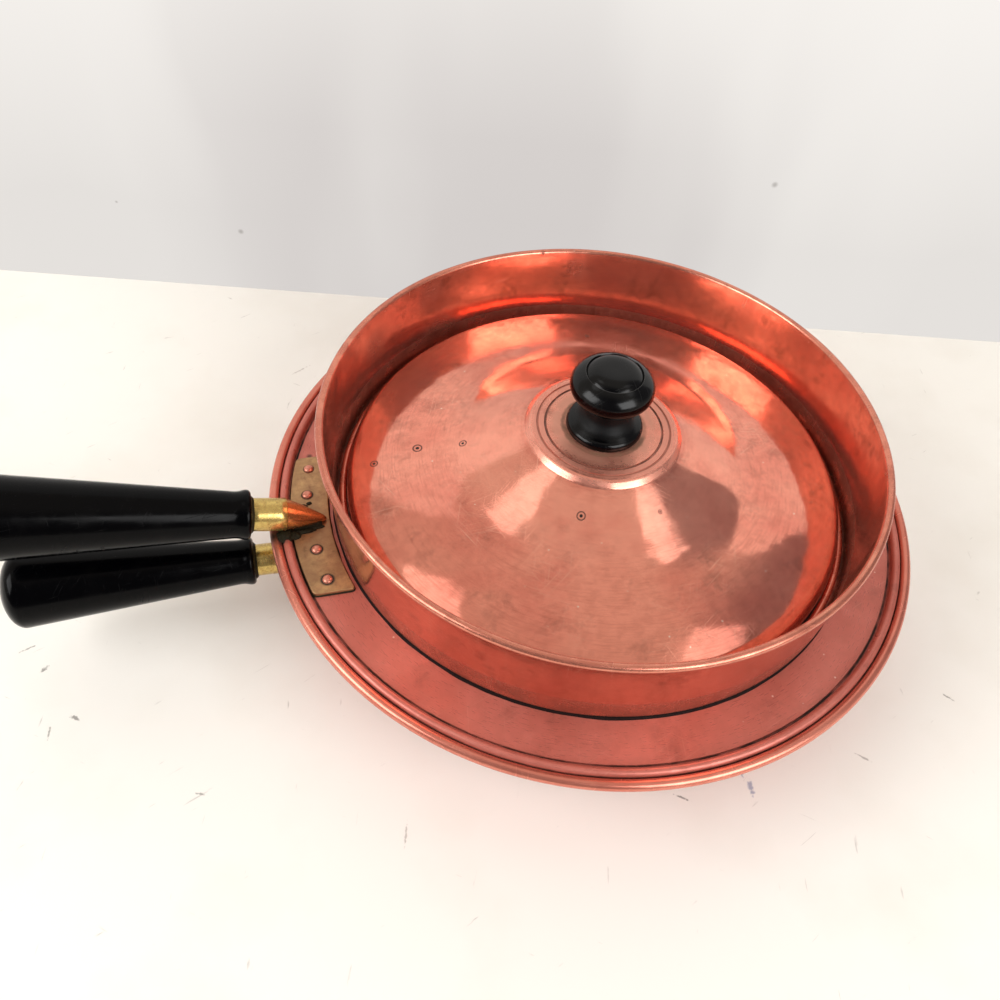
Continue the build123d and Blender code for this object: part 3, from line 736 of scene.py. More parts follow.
def makeFoodPan():
    low, high = cadBox("food_pan")
    sheet, roll, half = foodPan["sheet"], foodPan["rollRadius"], foodPan["sheet"] / 2
    ledge = high.z - foodPan["wallHeight"] + half
    rollCentre = (high.x - roll, high.z - roll)
    path = roundedPath([(0.0, low.z + half), (foodPan["lowerRadius"] - half, low.z + half),
                        (foodPan["lowerRadius"] - half, ledge), (foodPan["wallFootRadius"] - half, ledge),
                        (rollCentre[0] - roll + half, rollCentre[1])],
                       (foodPan["cornerRadius"], foodPan["ledgeBend"], foodPan["ledgeBend"]), 10)
    builder = bmesh.new()
    wave = handWave(*foodPan["handWave"])
    spinSheet(builder, divideLong(path, 5.0), sheet, foodPan["steps"], wave)
    spinRoll(builder, rollCentre, roll, foodPan["steps"], wave)
    piece = finishMesh("foodPanSheet", builder)
    fit(piece, makeCopper("copperSpunFoodPan", foodPan["finish"]), "food_pan", "food_vessel")


makeFoodPan()
print("food pan made")

# Lid: stepped boss, cone, shallow valley, skirt, tight shoulder, flat brim and rolled edge
lid = {
    "sheet": 1.0,
    "edgeRadius": 110.4,
    "rollRadius": 1.7,
    "crease": 0.5,
    "edgeLift": 6.2,
    "shoulderRadius": 8.2,
    "shoulderSlope": 17.5,
    "skirtRadius": 155.0,
    "valleySlope": 5.6,
    "valleyRadius": 44.0,
    "coneSlope": 23.3,
    "bossRadius": 31.4,
    "bossFootRadius": 33.8,
    "bossStep": 2.4,
    "bossBend": 1.9,
    "footBend": 2.5,
    "grooves": (25.2, 28.6),
    "grooveWidth": 1.0,
    "grooveDepth": 0.45,
    "holeRadius": 2.3,
    "steps": 320,
    "handWave": (0.1, 30.0, 1.0),
    "finish": {
        "metal": 0.86, "roughness": 0.075,
        "lineLength": 9.0, "linesPerMm": 1.3, "lineDepth": 0.008,
        "waveSize": 26.0, "waveDepth": 0.45,
        "mottle": 0.3, "smudge": 0.4, "scratches": 0.5, "scratchTurns": (0, 35, 70, 115, 150), "dust": 0.12,
        # the ring at 110.6, a black line where the lid sits on its ledge, is dirt with painted shade
        "rings": [(25.2, 0.6, 94.0, 99.0, 0.85, "#3A2216"), (28.6, 0.55, 94.0, 99.0, 0.5, "#6A4030"),
                  (110.6, 0.65, 57.0, 61.5, 1.0, "#1C0F0C"), (17.4, 1.4, 94.0, 99.0, 0.7, "#54432A")],
        # tint: painted light, the cone paler to stand in for its brighter reflection
        "tints": [(48.0, 20.0, 80.0, 94.0, 0.55, "#FFAE95")],
        "stains": [(18.0, 9.0, 94.0, 99.0, 0.95, "#D0907A"), (28.0, 4.6, 94.0, 99.0, 0.85, "#D68E7A"),
                   (32.6, 1.8, 93.0, 98.0, 0.7, "#EDA48E"), (112.5, 2.4, 57.0, 63.0, 0.55, "#A85442")],
        # the first four spots are painted reflection: darker patches on the lid's far side for the dark zone it
        # reflects there
        "spots": [((-32.0, 67.0, 80.0), 14.0, 0.35, "#BE6854"), ((0.0, 72.0, 80.0), 15.0, 0.45, "#B05A48"),
                  ((30.0, 67.0, 80.0), 15.0, 0.45, "#B05A48"), ((56.0, 47.0, 80.0), 12.0, 0.35, "#B05A48"),
                  ((-21.5, 12.0, 97.0), 3.0, 0.6, "#6E3A2A"), ((-21.0, 1.0, 97.0), 3.5, 0.55, "#7A4232"),
                  ((-24.0, -6.0, 97.0), 2.6, 0.4, "#7A4232")],
        "pits": [((-97.2, 14.6), 1.1), ((-77.7, 17.0), 1.4), ((-58.5, 12.6), 1.1), ((-21.3, -40.4), 1.2),
                 ((11.3, -44.2), 0.6), ((19.4, 78.7), 0.7)],  # place and size
    },
}


def alongSlope(point, distance, degrees):
    # a step square to a sheet that falls outwards at this slope
    slope = math.radians(degrees)
    return point[0] + distance * math.sin(slope), point[1] + distance * math.cos(slope)


def makeLid():
    low = cadBox("lid")[0]
    sheet, half = lid["sheet"], lid["sheet"] / 2
    brim = low.z + half
    rollCentre = (lid["edgeRadius"] + lid["crease"] + lid["rollRadius"], low.z + lid["rollRadius"])
    shoulder = lid["shoulderRadius"] - half
    shoulderX, shoulderZ = lid["edgeRadius"] - lid["shoulderRadius"], brim + lid["edgeLift"]
    shoulderStart = alongSlope((shoulderX, shoulderZ), shoulder, lid["shoulderSlope"])
    skirtPlace = alongSlope(shoulderStart, -lid["skirtRadius"], lid["shoulderSlope"])
    skirtStart = alongSlope(skirtPlace, lid["skirtRadius"], lid["valleySlope"])
    valleyPlace = alongSlope(skirtStart, lid["valleyRadius"], lid["valleySlope"])
    coneFoot = alongSlope(valleyPlace, -lid["valleyRadius"], lid["coneSlope"])
    footZ = coneFoot[1] + (coneFoot[0] - lid["bossFootRadius"]) * math.tan(math.radians(lid["coneSlope"]))
    bossZ = footZ + lid["bossStep"]
    path = roundedPath([(lid["holeRadius"], bossZ), (lid["bossRadius"], bossZ), (lid["bossFootRadius"], footZ),
                        coneFoot], (lid["bossBend"], lid["footBend"]), 10)
    path += arcPoints(valleyPlace, lid["valleyRadius"], 270 - lid["coneSlope"], 270 - lid["valleySlope"], 16)[1:]
    path += arcPoints(skirtPlace, lid["skirtRadius"], 90 - lid["valleySlope"], 90 - lid["shoulderSlope"], 20)[1:]
    path += arcPoints((shoulderX, shoulderZ), shoulder, 90 - lid["shoulderSlope"], 0.0, 20)[1:]
    path += roundedPath([(shoulderX + shoulder, shoulderZ), (shoulderX + shoulder, brim), (rollCentre[0], brim)],
                        (half + lid["crease"] / 2,), 6)[1:]
    left, right = sheetSides(path, sheet)
    top = left[0][1]
    grooved = [left[0]]
    reach, deep = lid["grooveWidth"] / 2, lid["grooveDepth"]
    for groove in lid["grooves"]:
        grooved += [(groove - reach, top), (groove - reach + 0.2, top - deep),
                    (groove + reach - 0.2, top - deep), (groove + reach, top)]
    outline = divideLong(grooved + left[1:], 3.0) + divideLong(right[::-1], 4.0)
    builder = bmesh.new()
    wave = handWave(*lid["handWave"])
    spinShell(builder, outline, lid["steps"], True, wave)
    spinRoll(builder, rollCentre, lid["rollRadius"], lid["steps"], wave)
    piece = finishMesh("lidSheet", builder, 34)
    fit(piece, makeCopper("copperBurnishedLid", lid["finish"]), "lid", "cover")


makeLid()
print("lid made")

# Black phenolic: glossy moulded resin, so the eye gets deep black with soft grey window marks,
# a few hairline scratches and specks of dust
phenolic = {
    "black": "#020203",
    "worn": "#0B0909",
    "dust": "#B9B2A8",
    # ring: colour of the painted highlight line round the knob's crown
    "ring": "#6C6A68",
    "roughness": 0.16,
    "gripSpecular": 0.09,  # waxed and rubbed, so duller than bare resin
    "knobSpecular": 0.25,
    "ringHighlightAbove": 122.0,
    "neckBelow": 118.0,
    "waveDepth": 0.05,
    "scratchDepth": 0.01,
    "scratchTurns": (15, 62, 118),
    "cloudSize": 9.0,
    "dustSpacing": 2.2,
    "marks": {"size": (14.0, 0.35, 12.0), "shift": (13.0, 7.0, 5.0), "tilt": (0.3, 0.2), "detail": 2.0,
              "bend": 0.0, "shows": (0.68, 0.75)},
}


def makePhenolic(name, specular, ring=None):
    # ring: radius of a pale line round the knob's crown, a painted highlight on the crown's edge
    material, tree, shader = newMaterial(name)
    point, height, _, radius = measurePlace(tree)
    cloud = addNode(tree, "TexNoise", {"Vector": point, "Scale": 1 / phenolic["cloudSize"], "Detail": 5.0})
    layers = [
        (addNode(tree, "MapRange", [cloud, 0.55, 0.8, 0.0, 0.35]), phenolic["worn"]),
        (findDust(tree, point, phenolic["dustSpacing"], 0.04, 0.08, 0.07, 0.7), phenolic["dust"]),
    ]
    scratches = findScratches(tree, point, phenolic["scratchTurns"], phenolic["marks"])
    smooth, coarse = phenolic["roughness"] * 0.8, phenolic["roughness"] * 1.5
    rough = addNode(tree, "MapRange", [cloud, 0.35, 0.7, smooth, coarse])
    rough = addNode(tree, "Math", [scratches, 0.25, rough], operation="MULTIPLY_ADD")
    # the ring is a pale line round the crown: painted highlight on the crown's edge
    if ring:
        away = addNode(tree, "Math", [radius, ring], operation="SUBTRACT")
        away = addNode(tree, "Math", [away], operation="ABSOLUTE")
        line = addNode(tree, "MapRange", [away, 0.2, 0.06, 0.0, 0.6])
        high = addNode(tree, "Math", [height, phenolic["ringHighlightAbove"]], operation="GREATER_THAN")
        for share in (high, cloud):
            line = addNode(tree, "Math", [line, share], operation="MULTIPLY")
        layers.append((line, phenolic["ring"]))
        # the neck is out of a cloth's reach, so it stays dull
        neck = addNode(tree, "MapRange", [radius, 13.5, 10.5, 0.0, 0.4])
        low = addNode(tree, "Math", [height, phenolic["neckBelow"]], operation="LESS_THAN")
        dull = addNode(tree, "Math", [neck, low], operation="MULTIPLY")
        rough = addNode(tree, "Math", [rough, dull], operation="ADD")
    tree.links.new(layColours(tree, phenolic["black"], layers), shader.inputs["Base Color"])
    tree.links.new(rough.outputs[0], shader.inputs["Roughness"])
    bumps = [(cloud, phenolic["waveDepth"]), (scratches, -phenolic["scratchDepth"])]
    tree.links.new(stackBumps(tree, bumps), shader.inputs["Normal"])
    shader.inputs["IOR"].default_value = 1.5
    shader.inputs["Specular IOR Level"].default_value = specular
    return material


phenolicMoulded = makePhenolic("phenolicMoulded", phenolic["gripSpecular"])

# Knob: flared foot, neck, flattened head with a fine ring round its crown
knob = {
    "footRadius": 16.6,
    "footHeight": 4.0,
    "footEdge": 1.0,
    "shoulderRadius": 15.2,
    "neckRadius": 9.0,
    "neckHeight": 10.2,
    "headRadius": 17.6,
    "headHalfHeight": 9.4,
    "headHeight": 23.3,
    "ringRadius": 11.9,
    "ringDepth": 0.5,
    "crownEdgeRadius": 11.5,
    "crownFlatness": 4.5,
}


def curvePoints(a, b, c, d, steps):
    # cubic curve from a to d, pulled towards b and c
    points = []
    for i in range(steps + 1):
        t = i / steps
        points.append(tuple(Vector(a) * (1 - t) ** 3 + Vector(b) * 3 * t * (1 - t) ** 2
                            + Vector(c) * 3 * t * t * (1 - t) + Vector(d) * t ** 3))
    return points


def makeKnob():
    low, high = cadBox("knob")
    base, top = low.z, high.z
    headZ = base + knob["headHeight"]
    neckAngle = -math.acos(knob["neckRadius"] / knob["headRadius"])
    ringAngle = math.acos(knob["ringRadius"] / knob["headRadius"])
    neckZ = headZ + knob["headHalfHeight"] * math.sin(neckAngle)
    ringZ = headZ + knob["headHalfHeight"] * math.sin(ringAngle)
    foot = knob["footRadius"]
    shoulder = (knob["shoulderRadius"], base + knob["footHeight"])
    outline = [(0.0, base), (foot - knob["footEdge"], base)]
    outline += curvePoints(outline[-1], (foot + 0.2, base + 0.4), (foot + 0.2, base + 3.0), shoulder, 10)[1:]
    outline += curvePoints(shoulder, (12.2, base + 5.2), (knob["neckRadius"], base + 7.4),
                           (knob["neckRadius"], base + knob["neckHeight"]), 12)[1:]
    outline += curvePoints(outline[-1], (knob["neckRadius"] - 0.2, base + 12.0),
                           (knob["neckRadius"] - 0.3, neckZ - 1.2), (knob["neckRadius"], neckZ), 6)[1:]
    for i in range(1, 41):
        angle = neckAngle + (ringAngle - neckAngle) * i / 40
        outline.append((knob["headRadius"] * math.cos(angle), headZ + knob["headHalfHeight"] * math.sin(angle)))
    edgeZ = ringZ - knob["ringDepth"]
    for i in range(21):
        share = 1 - i / 20
        outline.append((knob["crownEdgeRadius"] * share, top - (top - edgeZ) * share ** knob["crownFlatness"]))
    builder = bmesh.new()
    spinShell(builder, outline, 160)
    piece = finishMesh("knobBlack", builder, 50)
    turned = makePhenolic("phenolicTurnedKnob", phenolic["knobSpecular"], knob["ringRadius"])
    fit(piece, turned, "knob", "cover")


makeKnob()
print("knob made")

# Handles: each grip's front face lies beyond the water pan's rim, on a sloping line
handles = {
    "upper": {"body": "food_vessel", "reach": 6.2, "above": 69.9, "slope": 11.3, "sleeve": 14.6},
    "lower": {"body": "water_vessel", "reach": 8.8, "above": 38.3, "slope": 2.3, "sleeve": 13.5},
}
grip = {
    "length": 102.0,
    "faceRadius": 8.9,
    "lipRadius": 10.5,
    "lipPlace": 1.8,
    "neckRadius": 9.8,
    "neckPlace": 7.0,
    "endRadius": 16.7,
    "domeLength": 8.5,
}
ferrule = {
    "radius": 7.0,
    "wall": 1.0,
    "finish": {"main": "#E0C474", "second": "#B9995A", "grain": 2.2, "stain": 0.55, "roughness": 0.24, "bump": 0.01},
}


def handleFrame(which):
    # turns local Z into the handle's line, with its origin at the grip's front face, in millimetres
    spec = handles[which]
    reach = cadBox("water_pan")[1].x
    slope = math.radians(spec["slope"])
    along = Vector((-math.cos(slope), 0.0, math.sin(slope)))
    side = Vector((0.0, 1.0, 0.0))
    up = along.cross(side)
    turn = Matrix((side, up, along)).transposed().to_4x4()
    return Matrix.Translation(Vector((-reach - spec["reach"], 0.0, spec["above"])) * mm) @ turn


def makeGrip(which):
    g = grip
    outline = [(0.0, 0.0), (g["faceRadius"] - 0.4, 0.0)]
    outline += curvePoints(outline[-1], (g["faceRadius"] + 0.6, 0.0), (g["lipRadius"], 0.5),
                           (g["lipRadius"], g["lipPlace"]), 8)[1:]
    outline += curvePoints(outline[-1], (g["lipRadius"], g["lipPlace"] + 1.6),
                           (g["neckRadius"] - 0.1, g["lipPlace"] + 2.2), (g["neckRadius"], g["neckPlace"]), 12)[1:]
    domeStart = g["length"] - g["domeLength"]
    for i in range(1, 31):
        share = i / 30
        outline.append((g["neckRadius"] + (g["endRadius"] - g["neckRadius"]) * share,
                        g["neckPlace"] + (domeStart - g["neckPlace"]) * share))
    for i in range(1, 21):
        angle = math.pi / 2 * i / 20
        outline.append((max(g["endRadius"] * math.cos(angle), 0.0), domeStart + g["domeLength"] * math.sin(angle)))
    outline[-1] = (0.0, g["length"])
    builder = bmesh.new()
    spinShell(builder, outline, 128)
    piece = finishMesh(which + "GripBlack", builder, 50, handleFrame(which))
    fit(piece, phenolicMoulded, which + "_grip", handles[which]["body"])


# Brass: cast plate and drawn tube, yellow-olive where it is dull and pale gold where it is rubbed
brass = {
    "dirt": "#1D1A12",
    "cloudSize": 16.0,
    "stainSize": 3.5,
}


def makeBrass(name, finish):
    # also for the steel, the rivets' copper and the grime, whose grain and stains are alike
    material, tree, shader = newMaterial(name)
    point, _, flat, _ = measurePlace(tree)
    grain = addNode(tree, "TexNoise", {"Vector": point, "Scale": 1 / finish["grain"], "Detail": 5.0,
                    "Roughness": 0.65})
    layers = [(addNode(tree, "MapRange", [grain, 0.35, 0.68, 0.0, 1.0]), finish["second"])]
    if "tarnish" in finish:
        cloud = addNode(tree, "TexNoise", {"Vector": point, "Scale": 1 / brass["cloudSize"], "Detail": 4.0})
        layers.append((addNode(tree, "MapRange", [cloud, 0.4, 0.58, 0.1, 0.75]), finish["tarnish"]))
    stain = addNode(tree, "TexNoise", {"Vector": point, "Scale": 1 / brass["stainSize"], "Detail": 6.0,
                    "Roughness": 0.7, "Distortion": 0.5})
    dirty = [addNode(tree, "MapRange", [stain, 0.55, 0.72, 0.0, finish["stain"]])]
    # dark rings where dirt has settled round each rivet
    for spotX, spotY, inner, outer in finish.get("spots", ()):
        gap = addNode(tree, "VectorMath", [flat, (spotX, spotY, 0.0)], operation="DISTANCE").outputs["Value"]
        dirty.append(addNode(tree, "MapRange", [gap, inner, outer, 0.95, 0.0]))
    layers += [(amount, brass["dirt"]) for amount in dirty]
    tree.links.new(layColours(tree, finish["main"], layers), shader.inputs["Base Color"])
    if "specular" in finish:
        shader.inputs["Specular IOR Level"].default_value = finish["specular"]
    dirt = strongest(tree, dirty)
    metal = addNode(tree, "MapRange", [dirt, 0.2, 1.0, finish.get("metal", 0.8), 0.0])
    tree.links.new(metal.outputs[0], shader.inputs["Metallic"])
    smooth, coarse = finish["roughness"] * 0.8, finish["roughness"] * 1.3
    rough = addNode(tree, "MapRange", [grain, 0.3, 0.7, smooth, coarse])
    rough = addNode(tree, "Math", [dirt, 0.3, rough], operation="MULTIPLY_ADD")
    tree.links.new(rough.outputs[0], shader.inputs["Roughness"])
    tree.links.new(stackBumps(tree, [(grain, finish["bump"])]), shader.inputs["Normal"])
    return material


brassDrawn = makeBrass("brassDrawnTube", ferrule["finish"])


def makeFerrule(which):
    wall, outer, length = ferrule["wall"], ferrule["radius"], handles[which]["sleeve"]
    outline = [(outer - wall, 0.0), (outer - 0.15, 0.0), (outer, -0.15), (outer, 0.3 - length),
               (outer - 0.3, -length), (outer - wall, -length)]
    builder = bmesh.new()
    spinShell(builder, divideLong(outline, 3.0), 96, True)
    piece = finishMesh(which + "Ferrule", builder, 50, handleFrame(which))
    fit(piece, brassDrawn, which + "_ferrule", handles[which]["body"])


for which in handles:
    makeGrip(which)
    makeFerrule(which)
print("grips and ferrules made")

# Grime: dried polish and green-brown dirt packed into the corners that a cloth misses; the black bead, the lumps and
# the web also stand in for shadow, as painted shade
grime = {
    "seamReach": 0.9,
    "seamRise": 1.1,
    "collarReach": 1.3,
    "bead": [(114.5, 57.9), (114.5, 58.9), (116.6, 58.7), (117.2, 58.15), (117.4, 57.9)],
    # lumps of dried dirt with painted shadow under the sleeve and cone: centre and half sizes
    "lumps": [((-138.4, -5.6, 60.0), (3.4, 4.0, 2.2)), ((-134.8, -6.4, 60.0), (3.0, 2.2, 1.2)),
              ((-130.5, 8.6, 60.0), (2.6, 1.5, 0.8)), ((-127.0, 10.2, 59.9), (1.2, 0.9, 0.4)),
              ((-130.0, -5.0, 60.0), (4.2, 1.3, 0.8)), ((-125.0, -3.6, 60.0), (3.0, 1.0, 0.6))],
    "dried": {"main": "#33301F", "second": "#1C1712", "grain": 0.7, "stain": 0.5, "roughness": 0.6, "bump": 0.05,
              "metal": 0.0, "specular": 0.12},
    # black: painted shadow, the colour of the bead in the gap by the food pan's wall
    "black": {"main": "#1E0D0A", "second": "#120706", "bump": 0.02},
}
driedGrimeAndShade = makeBrass("grimeDriedPolishAndShade", grime["dried"])
gapShadowBlack = makeBrass("gapShadowBlackSeam", {**grime["dried"], **grime["black"]})

# Upper bracket: curved plate with worn edges, a pointed cone on it, tinted orange as painted reflection of the
# copper, and a web below the cone, dressed dark as painted shadow
bracket = {
    "thickness": 1.8,
    "innerRadius": 119.1,
    "outerRadius": 135.4,
    "halfWidth": 37.9,
    "corner": 2.0,
    "edge": 0.45,
    "tipRadius": 120.5,
    "tipAbovePlate": 2.7,
    "tipSize": 1.0,
    "coneStep": 0.5,
    "webWidth": 6.5,
    "rivets": ((128.8, -13.7), (128.2, -6.85), (127.3, 6.95), (127.6, 14.3)),  # radius, degrees
    "finish": {"main": "#CDA672", "second": "#B08560", "tarnish": "#8E6A4C", "grain": 2.6, "stain": 0.3,
               "roughness": 0.36, "bump": 0.04, "metal": 0.65},
    # cone: brass tinted orange, painted reflection of the copper round it
    "coneReflectionFinish": {"main": "#D5925C", "second": "#C07F4A", "grain": 1.6, "stain": 0.2, "roughness": 0.22,
                   "bump": 0.008},
}
rivet = {
    "headRadius": 2.15,
    "headHeight": 1.3,
    "shankRadius": 1.6,
    "tailRadius": 2.2,
    "tailHeight": 0.7,
    "finish": {"main": "#E39C85", "second": "#CC7A64", "grain": 1.1, "stain": 0.2, "roughness": 0.3,
               "bump": 0.015, "metal": 0.55},
}


def fromHandle(radius, degrees, height):
    # point at a radius from the axis, turned round from the handles' line
    angle = math.radians(degrees)
    return Vector((-radius * math.cos(angle), -radius * math.sin(angle), height))


def plateOutline():
    # crescent seen from above: both ends are cut straight, along the handles' line
    inner, outer, half, corner = (bracket[k] for k in ("innerRadius", "outerRadius", "halfWidth", "corner"))

    def onArc(radius, y):
        return Vector((-math.sqrt(radius ** 2 - y ** 2), y, 0.0))

    points = []
    for radius, end, into in ((outer, 1, corner), (inner, -1, -corner)):
        reach = half - corner
        for side in (-end, end):
            edge = onArc(radius, side * half)
            onEnd, onSide = edge + Vector((into, 0.0, 0.0)), onArc(radius, side * reach)
            a, b = (onEnd, onSide) if side == -end else (onSide, onEnd)
            points += [a * (1 - t) ** 2 + edge * 2 * t * (1 - t) + b * t * t for t in (i / 8 for i in range(9))]
            if side == -end:
                points += [onArc(radius, end * reach * (i / 12 - 1)) for i in range(1, 24)]
    return points


def makeUpperBracket():
    base, head = cadBox("upper_bracket")[0].z, rivet["headRadius"]
    places = [fromHandle(radius, degrees, 0.0)[:2] for radius, degrees in bracket["rivets"]]
    bracket["finish"]["spots"] = [(*place, head + 0.15 + 0.1 * n, head + 0.5 + 0.25 * n)
                                  for n, place in enumerate(places)]
    builder = bmesh.new()
    ring = [builder.verts.new((p + Vector((0, 0, base))) * mm) for p in plateOutline()]
    face = builder.faces.new(ring)
    lifted = bmesh.ops.extrude_face_region(builder, geom=[face])
    topVerts = [v for v in lifted["geom"] if isinstance(v, bmesh.types.BMVert)]
    bmesh.ops.translate(builder, verts=topVerts, vec=(0, 0, bracket["thickness"] * mm))
    topSet = set(topVerts)
    topEdges = [e for e in builder.edges if e.verts[0] in topSet and e.verts[1] in topSet]
    bmesh.ops.bevel(builder, geom=topEdges, offset=bracket["edge"] * mm, segments=3, profile=0.6, affect="EDGES")
    plate = finishMesh("upperPlate", builder, 60)

    # cone: rings slide from the ferrule's end to the tip, a little fuller than a straight cone
    place = handleFrame("upper")
    along = (place.to_3x3() @ Vector((0, 0, 1))).normalized()
    start = place.to_translation() / mm - along * handles["upper"]["sleeve"]
    tip = Vector((-bracket["tipRadius"], 0.0, base + bracket["tipAbovePlate"]))
    side = Vector((0, 1, 0))
    up = along.cross(side)
    big = ferrule["radius"] - bracket["coneStep"]
    builder = bmesh.new()
    rings = []
    steps = 24
    for i in range(steps + 1):
        t = i / steps
        size = big + (bracket["tipSize"] - big) * t ** 1.25
        centre = start.lerp(tip, t)
        if i > steps - 3:
            size *= (1.0, 0.8, 0.45)[i - steps + 2]
        circle = [side * size * math.cos(tau * k / 64) + up * size * math.sin(tau * k / 64) for k in range(64)]
        rings.append([builder.verts.new((centre + point) * mm) for point in circle])
    for a, b in zip(rings, rings[1:]):
        for k in range(64):
            builder.faces.new((a[k], a[(k + 1) % 64], b[(k + 1) % 64], b[k]))
    builder.faces.new(rings[0])
    builder.faces.new(rings[-1])
    cone = finishMesh("upperCone", builder, 50)

    # web: a thin wall from the cone's underside down to the plate, dressed dark as painted shadow with grime beneath
    # the cone
    half, outer, inner = bracket["webWidth"] / 2, bracket["outerRadius"] - 0.6, bracket["tipRadius"] + 2.0
    builder = bmesh.new()
    topPlate = base + bracket["thickness"]
    corners = []
    for radius, height in ((inner, tip.z + 0.6), (outer, start.z - 2.0)):
        for y in (-half, half):
            corners.append((builder.verts.new(Vector((-radius, y * 1.25, topPlate - 0.3)) * mm),
                            builder.verts.new(Vector((-radius, y * 0.8, height)) * mm)))
    (a, aTop), (b, bTop), (c, cTop), (d, dTop) = corners
    for face in ((a, b, bTop, aTop), (c, cTop, dTop, d), (a, aTop, cTop, c), (b, d, dTop, bTop),
                 (aTop, bTop, dTop, cTop), (a, c, d, b)):
        builder.faces.new(face)
    bmesh.ops.bevel(builder, geom=list(builder.edges), offset=0.5 * mm, segments=2, profile=0.6, affect="EDGES")
    web = finishMesh("upperShadowWeb", builder, 50)
    castPlate = makeBrass("brassCastPlate", bracket["finish"])
    coneCopperReflection = makeBrass("brassConeCopperReflection", bracket["coneReflectionFinish"])
    for piece, material in ((plate, castPlate), (cone, coneCopperReflection), (web, driedGrimeAndShade)):
        fit(piece, material, "upper_bracket", "food_vessel")


def makeRivets():
    # upper rivets: domed and hammered by hand, each a little out of round
    base = cadBox("upper_bracket")[0].z
    plateTop, under = base + bracket["thickness"], base - flange["sheet"]
    builder = bmesh.new()
    head, rise, shank = rivet["headRadius"], rivet["headHeight"], rivet["shankRadius"]
    tail, drop = rivet["tailRadius"], rivet["tailHeight"]
    for n, (radius, degrees) in enumerate(bracket["rivets"]):
        centre = fromHandle(radius, degrees, 0.0)
        outline = [(0.0, under - drop), (tail, under - drop), (tail, under), (shank, under), (shank, plateTop)]
        outline += [(head, plateTop), (head, plateTop + 0.15)]
        for i in range(1, 11):
            angle = math.pi / 2 * i / 10
            reach = head * math.cos(angle) ** 0.8 if i < 10 else 0.0
            outline.append((reach, plateTop + 0.15 + (rise - 0.15) * math.sin(angle)))

        def hammered(point, centre=centre, n=n):
            dent = noise.noise(point / 1.6 + Vector((n * 7.0, 0, 0)))
            if point.z > plateTop:
                flatter = (1 - 0.03 * (n % 2), 1 - 0.03 * ((n + 1) % 2))
                point = Vector((point.x * flatter[0], point.y * flatter[1], point.z + min(0.0, 0.07 * dent - 0.03)))
            return point + centre

        spinShell(builder, outline, 40, False, hammered)
    piece = finishMesh("upperRivetHeads", builder, 40)
    fit(piece, rivetCopper, "upper_rivets", "food_vessel")


rivetCopper = makeBrass("copperHammeredRivet", rivet["finish"])
makeUpperBracket()
makeRivets()
print("upper bracket and rivets made")


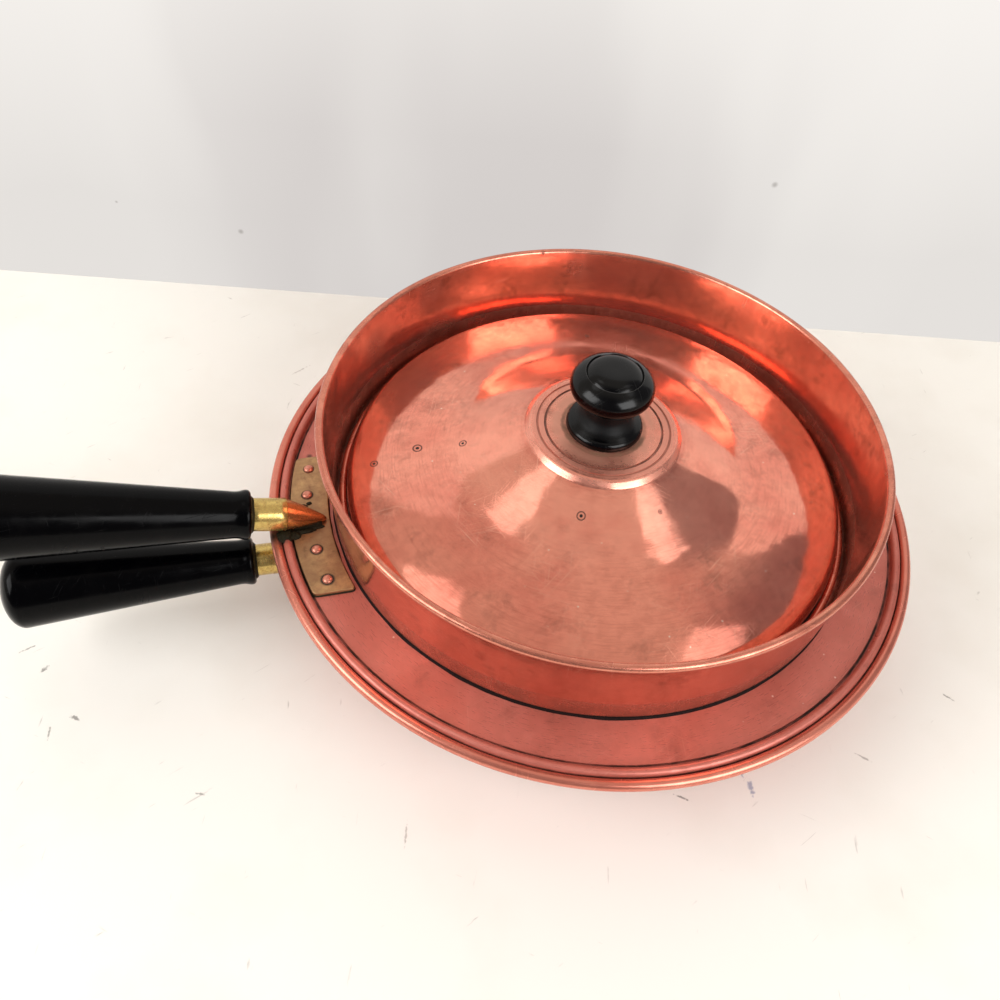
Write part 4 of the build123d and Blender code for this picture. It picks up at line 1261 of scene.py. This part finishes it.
def makeGrime():
    base = cadBox("upper_bracket")[0].z
    pieces = []

    # seam round the plate, thick in places and thin in others
    builder = bmesh.new()
    outline = plateOutline()
    sections = []
    for i, point in enumerate(outline):
        along = (outline[(i + 1) % len(outline)] - outline[i - 1]).normalized()
        outward = Vector((along.y, -along.x, 0.0))
        if outward.dot(point - Vector((-127.5, point.y * 0.9, 0.0))) < 0:
            outward = -outward
        thick = 0.3 + 0.7 * (0.5 + 0.5 * noise.noise(point / 5.0))
        reach, rise = grime["seamReach"] * thick, grime["seamRise"] * thick
        steps = ((-0.3, -0.15), (-0.3, rise), (0.12, rise * 0.8), (reach * 0.6, rise * 0.35), (reach, -0.15))
        corners = [point + outward * out + Vector((0, 0, base + up)) for out, up in steps]
        sections.append([builder.verts.new(corner * mm) for corner in corners])
    for i, section in enumerate(sections):
        after = sections[(i + 1) % len(sections)]
        for k in range(len(section)):
            m = (k + 1) % len(section)
            builder.faces.new((section[k], section[m], after[m], after[k]))
    pieces.append((finishMesh("upperSeamGrime", builder, 60), driedGrimeAndShade, "upper_bracket", "food_vessel"))

    # black bead between the flange and the food pan's wall: painted shadow filling the gap, shaped as dried polish
    def beadWave(point):
        outward = Vector((point.x, point.y, 0.0)).normalized()
        return point + outward * 0.3 * noise.noise(point / 9.0) if point.z < 58.3 else point

    builder = bmesh.new()
    spinShell(builder, grime["bead"], 240, True, beadWave)
    pieces.append((finishMesh("flangeGapShadowBead", builder, 60), gapShadowBlack, "flange", "food_vessel"))

    # lumps under the sleeve and beside the cone: dried dirt, and painted shadow where the sleeve and cone shade the
    # rims and plate
    builder = bmesh.new()
    for n, (centre, size) in enumerate(grime["lumps"]):
        made = bmesh.ops.create_icosphere(builder, subdivisions=4, radius=1.0)
        for vertex in made["verts"]:
            swell = 1 + 0.28 * noise.noise(vertex.co * 1.7 + Vector((n * 5.0, 0, 0)))
            swell += 0.1 * noise.noise(vertex.co * 5.0)
            vertex.co = (Vector(centre) + Vector([c * r * swell for c, r in zip(vertex.co, size)])) * mm
    pieces.append((finishMesh("upperLumpGrimeAndShadow", builder, 60), driedGrimeAndShade, "upper_bracket", "food_vessel"))

    # collar of dirt where each ferrule enters its grip
    for which in handles:
        radius, reach = ferrule["radius"], grime["collarReach"]

        def uneven(point):
            outward = Vector((point.x, point.y, 0.0))
            swell = 0.25 * noise.noise(point / 1.8)
            return point + outward.normalized() * swell if outward.length > radius + 0.1 else point

        builder = bmesh.new()
        outline = [(radius - 0.2, 0.1), (radius - 0.2, -reach), (radius + 0.15, -reach * 0.8), (radius + reach, 0.1)]
        spinShell(builder, outline, 96, True, uneven)
        collar = finishMesh(which + "CollarGrime", builder, 60, handleFrame(which))
        pieces.append((collar, driedGrimeAndShade, which + "_ferrule", handles[which]["body"]))
    for piece, material, node, body in pieces:
        fit(piece, material, node, body)


makeGrime()
print("grime made")

# Pieces that keep their CAD shape
carried = {
    "steel": {"main": "#A9ABAD", "second": "#8F9194", "grain": 0.8, "stain": 0.3, "roughness": 0.34, "bump": 0.004},
    "brass": {"main": "#A88B5C", "second": "#8C7147", "grain": 1.1, "stain": 0.5, "roughness": 0.36, "bump": 0.03},
}
steelDrawn = makeBrass("steelDrawnWire", carried["steel"])
brassTurned = makeBrass("brassTurnedInsert", ferrule["finish"])
brassLower = makeBrass("brassCastBracket", carried["brass"])
ownDress = {"knob_insert": brassTurned, "lower_bracket": brassLower, "lower_rivets": rivetCopper}
for name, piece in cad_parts.items():
    if name.endswith(("wire", "stud", "screw", "washer")):
        dress(piece, steelDrawn)
    elif name in ownDress:
        dress(piece, ownDress[name])
print("CAD pieces dressed")
